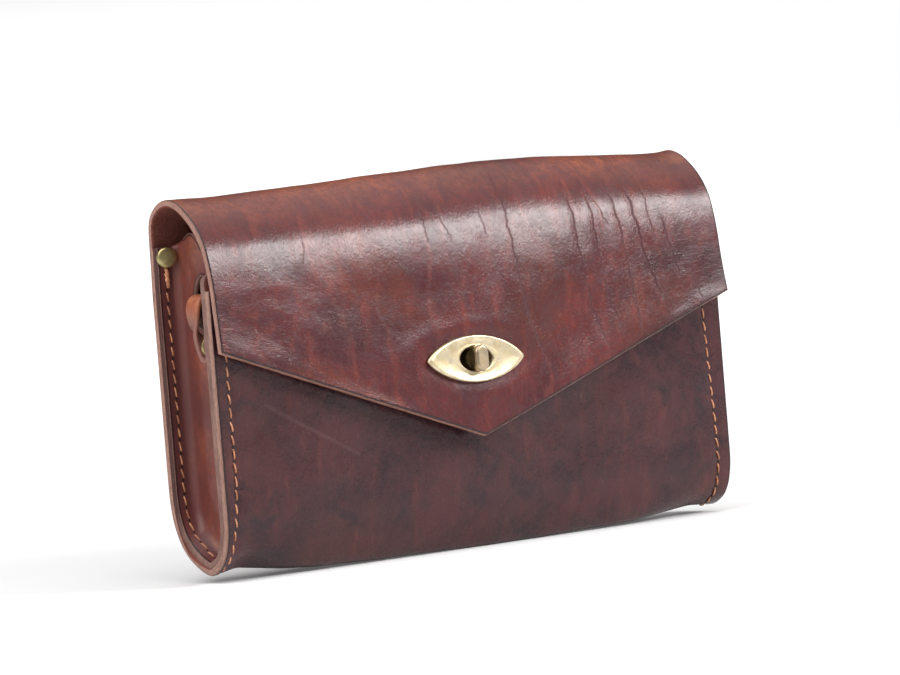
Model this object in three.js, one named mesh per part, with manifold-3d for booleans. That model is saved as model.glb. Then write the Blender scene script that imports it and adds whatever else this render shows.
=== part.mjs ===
// Leather tool bag, in millimetres. X runs along the bag, the front faces -Y and +Z is up.
// The origin is on the floor under the middle of the bag.
import * as THREE from 'three';
import Module from 'manifold-3d';

const wasm = await Module();
wasm.setup();

// Sizes of the bag
const bagLength = 266;
const bagDepth = 40.6;
const rollHeight = 157.4;
const frontPanelHeight = 119.5;
const cornerHeight = 45;
const endLift = 3.0;
const crownRise = 2.9;
const frontBulge = 1.2;
const leatherThickness = 3.0;

// Sizes of the flap
const flapClearance = 0.5;
const flapFlare = 5.0;
const cornerCurl = 1.8;
const cornerCurlStart = 0.4;
const cornerCurlLift = 0.7;
const flapCornerHeight = 94.3;
const flapTipHeight = 47.5;
const flapTipShift = -6;

// Sizes of the end pieces
const gussetThickness = 2.7;
const gussetRecess = 9.5;
const gussetFrontRise = 7;
const gussetCrest = 6;
const foldRadius = 1.2;
const wallMargin = 1;
const slotWidth = 11.4;
const slotHeight = 21;
const slotCentreHeight = 115;
const slotCentreDepth = -2.6;

// Sizes of the side straps
const strapWidth = 10;
const strapThickness = 2.0;
const strapBow = 12.9;

// Sizes of the rivets
const rivetCapDiameter = 8.7;
const rivetCapHeight = 1.9;
const outerCapDiameter = 7.0;
const outerCapHeight = 1.1;
const rivetShaftDiameter = 3.2;
const rivetInset = 4.7;
const backRivetDrop = 4.3;
const strapRivetHeight = 96.9;

// Sizes of the turn lock
const lockShift = -7.0;
const lockHeight = 79.7;
const lockTurn = -2.5;
const plateLength = 50.3;
const plateHeight = 19.7;
const plateRise = 1.95;
const lockHoleLength = 17;
const lockHoleHeight = 10.7;
const collarWall = 0.9;
const collarLip = 2.5;
const drumDiameter = 9.4;
const drumTop = 0.6;
const footDiameter = 15;
const footThickness = 1.4;
const stemDiameter = 5;
const washerDiameter = 12;
const knobLength = 11.2;
const knobWidth = 6.6;
const knobBase = 1.9;
const knobTop = 6.2;
const spindleDiameter = 3.6;

// Clearances
const seatGap = 0.3;
const holeGap = 0.35;

const halfLength = bagLength / 2;
const halfDepth = bagDepth / 2;
const degree = Math.PI / 180;

// Lengthwise shape: share of the half length, share of the crown, share of the belly
const lengthTable = [
  [-1, 0, 0],
  [-0.955, 0, -0.4],
  [-0.91, 0, -0.73],
  [-0.86, -0.04, -0.47],
  [-0.79, -0.08, 0],
  [-0.65, 0, 0.6],
  [-0.5, 0.21, 0.7],
  [-0.3, 0.48, 0.9],
  [-0.1, 0.68, 1],
  [0.1, 0.96, 1],
  [0.25, 0.98, 1],
  [0.4, 0.8, 0.9],
  [0.55, 0.5, 0.8],
  [0.7, 0.18, 0.47],
  [0.8, -0.04, 0.1],
  [0.9, -0.3, -0.13],
  [0.955, -0.36, 0],
  [1, -0.2, 0],
];

// Front panel from its top down: share of the way from the corner height to the panel's top
const frontRows = [1, 0.73, 0.47, 0.2, 0];

// Bottom fold from front to back: share of the half depth, share of the corner height, sag
const bottomRows = [
  [-1, 0.76, 0.4],
  [-0.955, 0.35, 0.9],
  [-0.828, 0.18, 1.2],
  [-0.59, 0.06, 1.75],
  [-0.305, 0, 1],
  [0.015, 0.036, 1.5],
  [0.35, 0.128, 2.9],
  [0.61, 0.239, 2.2],
  [0.795, 0.373, 1.4],
  [0.92, 0.523, 0.9],
  [0.985, 0.71, 0.4],
  [1, 1, 0],
];

// Back panel going up: share of the way from the corner height to the front panel's height
const backRows = [0.25, 0.5, 0.75, 1];

// Top roll from back to front: share of the half depth, share of the flap's stand-off, rise
const rollRows = [
  [0.98, 0, 0.25],
  [0.968, 0, 0.488],
  [0.958, 0, 0.62],
  [0.94, 0, 0.72],
  [0.867, 0, 0.825],
  [0.69, 0, 0.92],
  [0.483, 0, 0.98],
  [0.246, 0, 1],
  [-0.074, 0, 0.958],
  [-0.443, 0, 0.831],
  [-0.72, 0.28, 0.655],
  [-0.88, 0.5, 0.475],
  [-0.97, 0.66, 0.264],
];
const flapRowCount = 9;
const gussetBackTopRow = 1;

// Value of one column of the lengthwise table at a place along the bag
function lengthShare(x, column) {
  const share = Math.max(-1, Math.min(1, x / halfLength));
  for (let i = 1; i < lengthTable.length; i++) {
    const a = lengthTable[i - 1];
    const b = lengthTable[i];
    if (share <= b[0]) return a[column] + ((b[column] - a[column]) * (share - a[0])) / (b[0] - a[0]);
  }
  return lengthTable[lengthTable.length - 1][column];
}

// How far the front bows outward at a place along the bag and a height
function bow(x, z) {
  const along = 1 - (x / halfLength) ** 2;
  const up = Math.max(0, 1 - ((2 * z) / rollHeight - 1) ** 2);
  return frontBulge * along ** 2 * up;
}

// How far the flap's right corner has curled outward
function flapCurl(x, z) {
  const along = Math.max(0, (x / halfLength - cornerCurlStart) / (1 - cornerCurlStart));
  const down = (frontPanelHeight - z) / (frontPanelHeight - flapCornerHeight);
  return cornerCurl * along ** 2 * Math.min(1, Math.max(0, down)) ** 2;
}

// Outer face of the flap below the roll
function flapY(x, z) {
  const standOff = leatherThickness + flapClearance;
  const flare = (frontPanelHeight - z) * Math.tan(flapFlare * degree);
  return -halfDepth - standOff - flare - bow(x, z) - flapCurl(x, z);
}

// Height of the flap's cut edge
function flapEdgeHeight(x) {
  const reach = x < flapTipShift ? flapTipShift + halfLength : halfLength - flapTipShift;
  const share = Math.abs(x - flapTipShift) / reach;
  const lift = x > flapTipShift ? cornerCurlLift * cornerCurl * share ** 2 : 0;
  return flapTipHeight + (flapCornerHeight - flapTipHeight) * share + lift;
}

// Outer outline of the sheet at a place along the bag, from the front panel's top to the flap's edge
function outline(x) {
  const belly = lengthShare(x, 2);
  const top = rollHeight + crownRise * lengthShare(x, 1);
  const rows = [];
  for (const share of frontRows) {
    const z = cornerHeight + (frontPanelHeight - cornerHeight) * share;
    rows.push([-halfDepth - bow(x, z), z]);
  }
  for (const [y, rise, sag] of bottomRows) {
    const z = Math.max(0, endLift + (cornerHeight - endLift) * rise - endLift * sag * belly);
    rows.push([halfDepth * y + bow(x, z) * Math.min(0, y), z]);
  }
  for (const share of backRows) {
    const z = cornerHeight + (frontPanelHeight - cornerHeight) * share;
    rows.push([halfDepth, z]);
  }
  for (const [y, stand, rise] of rollRows) {
    const z = frontPanelHeight + (top - frontPanelHeight) * rise;
    const out = stand * (leatherThickness + flapClearance);
    rows.push([halfDepth * y - out + bow(x, z) * Math.min(0, y), z]);
  }
  const edge = flapEdgeHeight(x);
  for (let i = 0; i < flapRowCount; i++) {
    const z = frontPanelHeight + ((edge - frontPanelHeight) * i) / (flapRowCount - 1);
    rows.push([flapY(x, z), z]);
  }
  return rows;
}

// The outline moved inward by a distance
function inset(rows, distance) {
  return rows.map((p, i) => {
    const a = rows[Math.max(0, i - 1)];
    const b = rows[Math.min(rows.length - 1, i + 1)];
    const length = Math.hypot(b[0] - a[0], b[1] - a[1]);
    return [p[0] - ((b[1] - a[1]) / length) * distance, p[1] + ((b[0] - a[0]) / length) * distance];
  });
}

// Depth of the inset outline at a height, on the front panel or on the back
function panelY(x, z, distance, back) {
  const rows = inset(outline(x), distance);
  const lowest = frontRows.length + 4;
  const first = back ? lowest : 0;
  const last = back ? frontRows.length + bottomRows.length + backRows.length + 4 : lowest;
  for (let i = first; i < last; i++) {
    const a = rows[i];
    const b = rows[i + 1];
    if ((a[1] - z) * (b[1] - z) <= 0) return a[0] + ((b[0] - a[0]) * (z - a[1])) / (b[1] - a[1] || 1);
  }
  return back ? halfDepth - distance : -halfDepth + distance;
}

// Closed mesh from points and triangles, with every face turned outward
function closedMesh(points, triangles) {
  const edges = new Map();
  triangles.forEach((t, index) => {
    for (let k = 0; k < 3; k++) {
      const key = [t[k], t[(k + 1) % 3]].sort((a, b) => a - b).join('_');
      if (!edges.has(key)) edges.set(key, []);
      edges.get(key).push(index);
    }
  });
  const done = new Set([0]);
  const queue = [0];
  while (queue.length) {
    const current = triangles[queue.pop()];
    for (let k = 0; k < 3; k++) {
      const a = current[k];
      const b = current[(k + 1) % 3];
      const key = [a, b].sort((p, q) => p - q).join('_');
      for (const next of edges.get(key)) {
        if (done.has(next)) continue;
        const t = triangles[next];
        const same = [0, 1, 2].some((m) => t[m] === a && t[(m + 1) % 3] === b);
        if (same) t.reverse();
        done.add(next);
        queue.push(next);
      }
    }
  }
  let volume = 0;
  for (const [a, b, c] of triangles) {
    const p = points[a];
    const q = points[b];
    const r = points[c];
    volume += p[0] * (q[1] * r[2] - q[2] * r[1]) + p[1] * (q[2] * r[0] - q[0] * r[2]);
    volume += p[2] * (q[0] * r[1] - q[1] * r[0]);
  }
  if (volume < 0) triangles.forEach((t) => t.reverse());
  const geometry = new THREE.BufferGeometry();
  geometry.setAttribute('position', new THREE.Float32BufferAttribute(points.flat(), 3));
  geometry.setIndex(triangles.flat());
  return geometry;
}

// Two triangles for a four-sided face
function quad(a, b, c, d) {
  return [[a, b, c], [a, c, d]];
}

// Solid from a three.js geometry, with doubled corners joined
function toSolid(geometry) {
  const position = geometry.getAttribute('position');
  const index = geometry.index ? Array.from(geometry.index.array) : [...Array(position.count).keys()];
  const seen = new Map();
  const vertices = [];
  const renumber = [];
  for (let i = 0; i < position.count; i++) {
    const p = [position.getX(i), position.getY(i), position.getZ(i)];
    const key = p.map((v) => Math.round(v * 1e4)).join('_');
    if (!seen.has(key)) {
      seen.set(key, vertices.length / 3);
      vertices.push(...p);
    }
    renumber.push(seen.get(key));
  }
  const triangles = [];
  for (let i = 0; i < index.length; i += 3) {
    const t = [renumber[index[i]], renumber[index[i + 1]], renumber[index[i + 2]]];
    if (new Set(t).size === 3) triangles.push(...t);
  }
  const mesh = new wasm.Mesh({
    numProp: 3,
    vertProperties: new Float32Array(vertices),
    triVerts: new Uint32Array(triangles),
  });
  return new wasm.Manifold(mesh);
}

// three.js geometry from a solid
function fromSolid(solid) {
  const mesh = solid.getMesh();
  const points = [];
  for (let i = 0; i < mesh.vertProperties.length; i += mesh.numProp) {
    points.push(mesh.vertProperties[i], mesh.vertProperties[i + 1], mesh.vertProperties[i + 2]);
  }
  const geometry = new THREE.BufferGeometry();
  geometry.setAttribute('position', new THREE.Float32BufferAttribute(points, 3));
  geometry.setIndex(Array.from(mesh.triVerts));
  return geometry;
}

// A geometry with other geometries cut out of it
function cut(geometry, tools) {
  return fromSolid(tools.reduce((solid, tool) => solid.subtract(toSolid(tool)), toSolid(geometry)));
}

// Several geometries joined into one
function join(geometries) {
  const solids = geometries.map(toSolid);
  return fromSolid(solids.slice(1).reduce((sum, solid) => sum.add(solid), solids[0]));
}

// Cylinder along Y, given its two ends
function barAlongY(x, z, diameter, yStart, yEnd, sides) {
  const bar = new THREE.CylinderGeometry(diameter / 2, diameter / 2, Math.abs(yEnd - yStart), sides);
  return bar.translate(x, (yStart + yEnd) / 2, z);
}

// Places along the bag where the sheet has a row of points
function sheetStations() {
  const places = lengthTable.map((row) => row[0] * halfLength);
  places.push(flapTipShift, lockShift - plateLength / 2, lockShift + plateLength / 2);
  return places.sort((a, b) => a - b);
}

// Frame of the turn lock: its origin on the flap's outer face and its axis out of the flap
const lockY = flapY(lockShift, lockHeight);
const lockTilt = flapFlare * degree;
const lockAxis = new THREE.Vector3(0, -Math.cos(lockTilt), Math.sin(lockTilt));
const lockUp = new THREE.Vector3(0, Math.sin(lockTilt), Math.cos(lockTilt));
lockUp.applyAxisAngle(lockAxis, lockTurn * degree);
const lockSide = lockUp.clone().cross(lockAxis);
const lockFrame = new THREE.Matrix4().makeBasis(lockSide, lockUp, lockAxis);
lockFrame.setPosition(lockShift, lockY, lockHeight);

// Oval prism along the lock's axis
function ovalPrism(halfWidth, halfHeight, from, to) {
  const shape = new THREE.Shape();
  shape.absellipse(0, 0, halfWidth, halfHeight, 0, Math.PI * 2);
  const prism = new THREE.ExtrudeGeometry(shape, { depth: to - from, bevelEnabled: false, curveSegments: 20 });
  return prism.translate(0, 0, from).applyMatrix4(lockFrame);
}

const collarOuter = collarWall + holeGap;
const backRivetX = halfLength - rivetInset;
const backFlangeTop = frontPanelHeight + (rollHeight - frontPanelHeight) * rollRows[gussetBackTopRow][2];
const backRivetHeight = backFlangeTop - backRivetDrop;
const strapRivetX = halfLength - rivetInset;
const shaftHole = rivetShaftDiameter + 2 * holeGap;

// The sheet of leather: front panel, bottom, back panel, roll and flap
function bodyWrap() {
  const stations = sheetStations();
  const outer = stations.map((x) => outline(x));
  const inner = outer.map((rows) => inset(rows, leatherThickness));
  const rowCount = outer[0].length;
  const points = [];
  for (const side of [outer, inner]) {
    side.forEach((rows, i) => rows.forEach(([y, z]) => points.push([stations[i], y, z])));
  }
  const at = (side, i, j) => (side * stations.length + i) * rowCount + j;
  const triangles = [];
  const lastRow = rowCount - 1;
  const lastStation = stations.length - 1;
  for (let i = 0; i < lastStation; i++) {
    for (let j = 0; j < lastRow; j++) {
      for (const side of [0, 1]) {
        triangles.push(...quad(at(side, i, j), at(side, i + 1, j), at(side, i + 1, j + 1), at(side, i, j + 1)));
      }
    }
    for (const j of [0, lastRow]) {
      triangles.push(...quad(at(0, i, j), at(0, i + 1, j), at(1, i + 1, j), at(1, i, j)));
    }
  }
  for (let j = 0; j < lastRow; j++) {
    for (const i of [0, lastStation]) {
      triangles.push(...quad(at(0, i, j), at(0, i, j + 1), at(1, i, j + 1), at(1, i, j)));
    }
  }
  const tools = [-1, 1].map((side) =>
    barAlongY(side * backRivetX, backRivetHeight, shaftHole, halfDepth / 2, bagDepth, 16));
  const halfHole = [lockHoleLength / 2 + collarOuter, lockHoleHeight / 2 + collarOuter];
  tools.push(ovalPrism(halfHole[0], halfHole[1], -leatherThickness - 1, 2));
  const panelOuter = panelY(lockShift, stemHeight(), 0, false);
  const stemHole = stemDiameter + 2 * holeGap;
  tools.push(barAlongY(lockShift, stemHeight(), stemHole, panelOuter - 1, panelOuter + leatherThickness + 2, 20));
  return cut(closedMesh(points, triangles), tools);
}

// Height where the lock's axis meets the front panel
function stemHeight() {
  return lockHeight + (halfDepth + lockY) * Math.tan(lockTilt);
}

// Rows of the sheet's outline that an end piece follows, inset by a distance
function gussetRows(x, distance) {
  const last = frontRows.length + bottomRows.length + backRows.length + gussetBackTopRow;
  const rows = inset(outline(x), distance).slice(0, last + 1);
  rows[0] = [rows[0][0], frontPanelHeight + gussetFrontRise];
  return rows;
}

// Recessed end wall with a turned flange
function gusset(side) {
  const base = leatherThickness + seatGap;
  const t = gussetThickness;
  const wallOuter = halfLength - gussetRecess;
  const wallInner = wallOuter - t;
  const flangeMiddle = halfLength - gussetRecess / 2;
  const rim = t + foldRadius + wallMargin;
  const section = [
    [wallOuter, rim],
    [wallOuter, t + foldRadius],
    [wallOuter + foldRadius * 0.3, t + foldRadius * 0.3],
    [wallOuter + foldRadius, t],
    [flangeMiddle, t],
    [halfLength, t],
    [halfLength, 0],
    [flangeMiddle, 0],
    [wallInner + foldRadius * 1.5, 0],
    [wallInner + foldRadius * 0.45, foldRadius * 0.45],
    [wallInner, foldRadius * 1.5],
    [wallInner, rim],
  ];
  const loops = section.map(([x, depth]) => gussetRows(side * x, base + depth));
  const rowCount = loops[0].length;
  const points = [];
  loops.forEach((rows, k) => rows.forEach(([y, z]) => points.push([side * section[k][0], y, z])));
  const at = (k, j) => k * rowCount + j;
  const triangles = [];
  const lastRow = rowCount - 1;
  const lastLoop = section.length - 1;
  for (let k = 0; k < lastLoop; k++) {
    for (let j = 0; j < lastRow; j++) {
      triangles.push(...quad(at(k, j), at(k, j + 1), at(k + 1, j + 1), at(k + 1, j)));
    }
  }
  const capShape = section.map(([x, depth]) => new THREE.Vector2(x, depth));
  for (const j of [0, lastRow]) {
    for (const t3 of THREE.ShapeUtils.triangulateShape(capShape, [])) {
      triangles.push(t3.map((k) => at(k, j)));
    }
  }
  const start = loops[0][lastRow];
  const end = loops[0][0];
  const crestCount = 8;
  const crest = [];
  for (let i = 1; i < crestCount; i++) {
    const share = i / crestCount;
    const lift = gussetCrest * Math.sin(Math.PI * share);
    const blend = share ** 3;
    crest.push([start[0] + (end[0] - start[0]) * share, start[1] + (end[1] - start[1]) * blend + lift]);
  }
  const crestStart = points.length;
  for (const x of [wallOuter, wallInner]) crest.forEach(([y, z]) => points.push([side * x, y, z]));
  const rings = [0, lastLoop].map((k, face) => {
    const ring = [];
    for (let j = 0; j <= lastRow; j++) ring.push(at(k, j));
    crest.forEach((_, i) => ring.push(crestStart + face * crest.length + i));
    return ring;
  });
  for (const ring of rings) {
    const shape = ring.map((n) => new THREE.Vector2(points[n][1], points[n][2]));
    for (const t3 of THREE.ShapeUtils.triangulateShape(shape, [])) triangles.push(t3.map((n) => ring[n]));
  }
  for (let i = lastRow; i < rings[0].length; i++) {
    const next = (i + 1) % rings[0].length;
    triangles.push(...quad(rings[0][i], rings[0][next], rings[1][next], rings[1][i]));
  }
  const slot = new THREE.CylinderGeometry(1, 1, gussetRecess + t, 28).rotateZ(Math.PI / 2);
  slot.scale(1, slotWidth / 2, slotHeight / 2);
  slot.translate(side * (wallOuter - t / 2), slotCentreDepth, slotCentreHeight);
  const tools = [slot];
  tools.push(barAlongY(side * backRivetX, backRivetHeight, shaftHole, halfDepth / 2, bagDepth, 16));
  tools.push(barAlongY(side * strapRivetX, strapRivetHeight, shaftHole, -halfDepth / 2, -bagDepth, 16));
  return cut(closedMesh(points, triangles), tools);
}

// Depth of the front flange's inner face where the strap is riveted
function flangeInnerY() {
  return panelY(-strapRivetX, strapRivetHeight, leatherThickness + seatGap + gussetThickness, false);
}

// Strap path: share of the recess outward, share of the bow, share of the way from rivet to slot,
// direction of the width, share of the width
const strapPath = [
  [-0.895, 0.76, 1.066, 0, 1, 0, 0.86],
  [-0.379, 0.76, 1.088, 0, 1, 0, 0.86],
  [0.063, 0.76, 1.105, 0, 1, 0, 0.86],
  [0.358, 0.76, 1.088, 0, 1, 0, 0.86],
  [0.547, 0.76, 1, 0, 1, 0, 0.86],
  [0.642, 0.76, 0.845, 0, 1, 0, 0.86],
  [0.684, 0.736, 0.635, -0.15, 0.98, 0, 0.86],
  [0.695, 0.682, 0.436, -0.4, 0.9, 0, 0.86],
  [0.663, 0.589, 0.249, -0.75, 0.65, 0, 0.84],
  [0.611, 0.473, 0.061, -0.95, 0.3, 0, 0.8],
  [0.558, 0.372, -0.127, -1, 0.1, 0, 0.78],
  [0.516, 0.287, -0.26, -1, 0, 0, 0.76],
  [0.516, 0.186, -0.315, -1, 0, 0, 0.74],
  [0.516, 0.07, -0.315, -1, 0, 0, 0.74],
  [0.516, 0, -0.249, -1, 0, 0, 0.74],
  [0.516, 0, -0.105, -1, 0, 0, 0.74],
  [0.516, 0, 0.094, -1, 0, 0, 0.74],
  [0.516, 0, 0.249, -1, 0, 0, 0.7],
  [0.516, 0, 0.315, -1, 0, 0, 0.4],
];

// Side strap bent out of the slot, down past its rivet and back up under the rivet's cap
function sideStrap(side) {
  const seat = flangeInnerY();
  const wallOuter = halfLength - gussetRecess;
  const centres = strapPath.map(([out, back, rise]) => new THREE.Vector3(
    side * (wallOuter + out * gussetRecess),
    seat + seatGap + strapThickness / 2 + back * strapBow,
    strapRivetHeight + rise * (slotCentreHeight - strapRivetHeight),
  ));
  const points = [];
  strapPath.forEach((row, i) => {
    const before = centres[Math.max(0, i - 1)];
    const after = centres[Math.min(centres.length - 1, i + 1)];
    const heading = after.clone().sub(before).normalize();
    const width = new THREE.Vector3(side * row[3], row[4], row[5]);
    width.addScaledVector(heading, -width.dot(heading)).normalize();
    const across = heading.clone().cross(width).normalize();
    const halfWidth = (strapWidth * row[6]) / 2;
    const half = strapThickness / 2;
    const corners = [
      [-halfWidth, -half * 0.6], [-halfWidth + 0.4, -half], [halfWidth - 0.4, -half], [halfWidth, -half * 0.6],
      [halfWidth, half * 0.6], [halfWidth - 0.4, half], [-halfWidth + 0.4, half], [-halfWidth, half * 0.6],
    ];
    for (const [w, n] of corners) {
      const p = centres[i].clone().addScaledVector(width, w).addScaledVector(across, n);
      points.push([p.x, p.y, p.z]);
    }
  });
  const triangles = [];
  const count = 8;
  for (let i = 0; i + 1 < strapPath.length; i++) {
    for (let k = 0; k < count; k++) {
      const next = (k + 1) % count;
      const base = i * count;
      triangles.push(...quad(base + k, base + next, base + count + next, base + count + k));
    }
  }
  for (const base of [0, (strapPath.length - 1) * count]) {
    for (let k = 1; k + 1 < count; k++) triangles.push([base, base + k, base + k + 1]);
  }
  const tool = barAlongY(side * strapRivetX, strapRivetHeight, shaftHole, seat - 2, seat + 3, 16);
  return cut(closedMesh(points, triangles), [tool]);
}

// Domed cap profile from its rim to its centre: share of the radius, share of the height
const capRows = [
  [1, 0],
  [1, 0.3],
  [0.93, 0.62],
  [0.72, 0.86],
  [0.4, 0.97],
  [0, 1],
];

// Rivet along Y with a cap at its start and, if wanted, a cap at its end
function rivet(x, z, yCap, yEnd, endCap) {
  const direction = Math.sign(yEnd - yCap);
  const grip = Math.abs(yEnd - yCap);
  const radius = rivetCapDiameter / 2;
  const shaft = rivetShaftDiameter / 2;
  const profile = [...capRows].reverse().map(([r, h]) => new THREE.Vector2(r * radius, -h * rivetCapHeight));
  profile.push(new THREE.Vector2(shaft, 0), new THREE.Vector2(shaft, grip));
  const outer = outerCapDiameter / 2;
  if (endCap) profile.push(...capRows.map(([r, h]) => new THREE.Vector2(r * outer, grip + h * outerCapHeight)));
  else profile.push(new THREE.Vector2(0, grip));
  const body = new THREE.LatheGeometry(profile, 24);
  if (direction < 0) body.rotateX(Math.PI);
  return fromSolid(toSolid(body.translate(x, yCap, z)));
}

// Rivet through the back flange and the back panel
function backRivet(side) {
  const x = side * backRivetX;
  const heights = [-0.5, 0, 0.5].map((share) => backRivetHeight + share * rivetCapDiameter);
  const depth = leatherThickness + seatGap + gussetThickness;
  const inside = Math.min(...heights.map((z) => panelY(x, z, depth, true)));
  const outside = Math.max(...heights.map((z) => panelY(x, z, 0, true)));
  return rivet(x, backRivetHeight, inside - seatGap, outside + seatGap, true);
}

// Rivet through the strap into the front flange
function strapRivet(side) {
  const seat = flangeInnerY();
  const capSeat = seat + strapThickness + 2 * seatGap;
  return rivet(side * strapRivetX, strapRivetHeight, capSeat, seat - gussetThickness, false);
}

// Plate profile as rows: share of the way from the hole to the outline, offset from the hole, height
function plateRows() {
  const back = -leatherThickness - seatGap;
  return [
    [1, 0, seatGap],
    [1, 0, plateRise * 0.5],
    [0.96, 0, plateRise * 0.84],
    [0.87, 0, plateRise],
    [0.62, 0, plateRise * 0.9],
    [0.3, 0, plateRise * 0.77],
    [0.08, 0, plateRise * 0.78],
    [0, 0, plateRise * 0.68],
    [0, 0, back - 1],
    [0, collarWall + collarLip, back - 1],
    [0, collarWall + collarLip, back - 0.05],
    [0, collarWall, back - 0.05],
    [0, collarWall, seatGap],
  ];
}

// Pointed-oval plate with an oval hole and a collar that holds it in the leather
function lockPlate() {
  const rows = plateRows();
  const sides = 44;
  const points = [];
  for (const [share, offset, height] of rows) {
    for (let i = 0; i < sides; i++) {
      const angle = (i / sides) * Math.PI * 2;
      const c = Math.cos(angle);
      const s = Math.sin(angle);
      const hole = [c * (lockHoleLength / 2 + offset), s * (lockHoleHeight / 2 + offset)];
      const edge = [(c * plateLength) / 2, (Math.sign(s) * Math.abs(s) ** 1.5 * plateHeight) / 2];
      const p = new THREE.Vector3(
        hole[0] + (edge[0] - hole[0]) * share, hole[1] + (edge[1] - hole[1]) * share, height);
      p.applyMatrix4(lockFrame);
      points.push([p.x, p.y, p.z]);
    }
  }
  const triangles = [];
  for (let k = 0; k < rows.length; k++) {
    const nextRow = ((k + 1) % rows.length) * sides;
    for (let i = 0; i < sides; i++) {
      const next = (i + 1) % sides;
      triangles.push(...quad(k * sides + i, k * sides + next, nextRow + next, nextRow + i));
    }
  }
  return closedMesh(points, triangles);
}

// Cylinder along the lock's axis
function barAlongLock(diameter, from, to, sides) {
  const bar = new THREE.CylinderGeometry(diameter / 2, diameter / 2, to - from, sides);
  return bar.rotateX(Math.PI / 2).translate(0, 0, (from + to) / 2).applyMatrix4(lockFrame);
}

// Post of the lock with its foot, stem and inside disc
function lockBase() {
  const outside = panelY(lockShift, stemHeight(), 0, false);
  const inside = outside + leatherThickness;
  const reach = (outside - lockY) / Math.cos(lockTilt);
  const z = stemHeight();
  const body = join([
    barAlongLock(drumDiameter, -reach + seatGap + footThickness / 2, drumTop, 28),
    barAlongY(lockShift, z, footDiameter, outside - seatGap, outside - seatGap - footThickness, 28),
    barAlongY(lockShift, z, stemDiameter, outside - seatGap - footThickness / 2, inside + seatGap + 0.5, 20),
    barAlongY(lockShift, z, washerDiameter, inside + seatGap, inside + seatGap + 1.2, 28),
  ]);
  return cut(body, [barAlongLock(spindleDiameter + 2 * holeGap, drumTop - 3, drumTop + 1, 20)]);
}

// Turning bar of the lock on its spindle
function turnKnob() {
  const bevel = 0.8;
  const r = knobWidth / 2 - bevel;
  const straight = (knobLength - knobWidth) / 2;
  const shape = new THREE.Shape();
  shape.absarc(0, straight, r, 0, Math.PI);
  shape.absarc(0, -straight, r, Math.PI, Math.PI * 2);
  const bar = new THREE.ExtrudeGeometry(shape, {
    depth: knobTop - knobBase - 2 * bevel,
    bevelThickness: bevel,
    bevelSize: bevel,
    bevelSegments: 2,
    curveSegments: 10,
  });
  bar.translate(0, 0, knobBase + bevel).applyMatrix4(lockFrame);
  const neck = barAlongLock(drumDiameter * 0.55, drumTop + seatGap, knobBase + 0.6, 24);
  const spindle = barAlongLock(spindleDiameter, drumTop - 2.4, knobBase + 0.5, 20);
  return join([bar, neck, spindle]);
}

// Colours of the materials
const brownLeather = { color: 0x5a2c22, roughness: 0.5, metalness: 0 };
const tanLeather = { color: 0xa8643c, roughness: 0.6, metalness: 0 };
const agedBrass = { color: 0xa8935f, roughness: 0.35, metalness: 1 };

// Named mesh with a material of its own
function piece(name, geometry, look) {
  const flat = geometry.index ? geometry : geometry.toNonIndexed();
  flat.computeVertexNormals();
  const mesh = new THREE.Mesh(flat, new THREE.MeshStandardMaterial(look));
  mesh.name = name;
  return mesh;
}

const bag = new THREE.Group();
bag.name = 'leather_tool_bag';
bag.add(piece('body_wrap', bodyWrap(), brownLeather));
for (const [name, side] of [['left', -1], ['right', 1]]) {
  bag.add(piece(`gusset_${name}`, gusset(side), brownLeather));
  bag.add(piece(`side_strap_${name}`, sideStrap(side), tanLeather));
  bag.add(piece(`rivet_back_${name}`, backRivet(side), agedBrass));
  bag.add(piece(`rivet_strap_${name}`, strapRivet(side), agedBrass));
}
bag.add(piece('lock_plate', lockPlate(), agedBrass));
bag.add(piece('lock_base', lockBase(), agedBrass));
bag.add(piece('turn_knob', turnKnob(), agedBrass));

export default bag;
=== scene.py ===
"""Looks of the leather tool bag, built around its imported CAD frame. Sizes are in millimetres."""

import math

import bpy
import numpy as np
from mathutils import Matrix, Vector
from mathutils.geometry import delaunay_2d_cdt


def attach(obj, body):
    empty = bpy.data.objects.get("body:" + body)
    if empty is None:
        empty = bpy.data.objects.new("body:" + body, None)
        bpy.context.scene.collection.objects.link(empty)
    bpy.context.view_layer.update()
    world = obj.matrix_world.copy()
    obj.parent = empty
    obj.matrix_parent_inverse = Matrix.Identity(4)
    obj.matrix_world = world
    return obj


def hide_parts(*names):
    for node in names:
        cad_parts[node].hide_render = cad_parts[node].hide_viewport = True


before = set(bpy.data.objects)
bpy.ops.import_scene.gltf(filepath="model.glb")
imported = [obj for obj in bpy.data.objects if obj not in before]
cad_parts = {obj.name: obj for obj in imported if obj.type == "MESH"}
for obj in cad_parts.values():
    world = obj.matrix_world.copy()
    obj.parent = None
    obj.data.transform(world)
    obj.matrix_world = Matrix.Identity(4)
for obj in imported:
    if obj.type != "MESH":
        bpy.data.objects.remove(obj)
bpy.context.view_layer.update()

METRE = 0.001

# Sizes of the bag
BAG_LENGTH = 266.0
BAG_DEPTH = 40.6
ROLL_HEIGHT = 157.4
FRONT_HEIGHT = 119.5
CORNER_HEIGHT = 45.0
END_LIFT = 3.0
CROWN_RISE = 2.9
FRONT_BULGE = 1.2
LEATHER = 3.0

# Sizes of the flap
FLAP_CLEARANCE = 0.5
FLAP_FLARE = math.radians(5.0)
FLAP_CORNER_HEIGHT = 94.3
FLAP_TIP_HEIGHT = 47.5
FLAP_TIP_X = -6.0
CORNER_CURL = 1.8
CORNER_CURL_START = 0.4
CORNER_CURL_LIFT = 0.7

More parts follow.
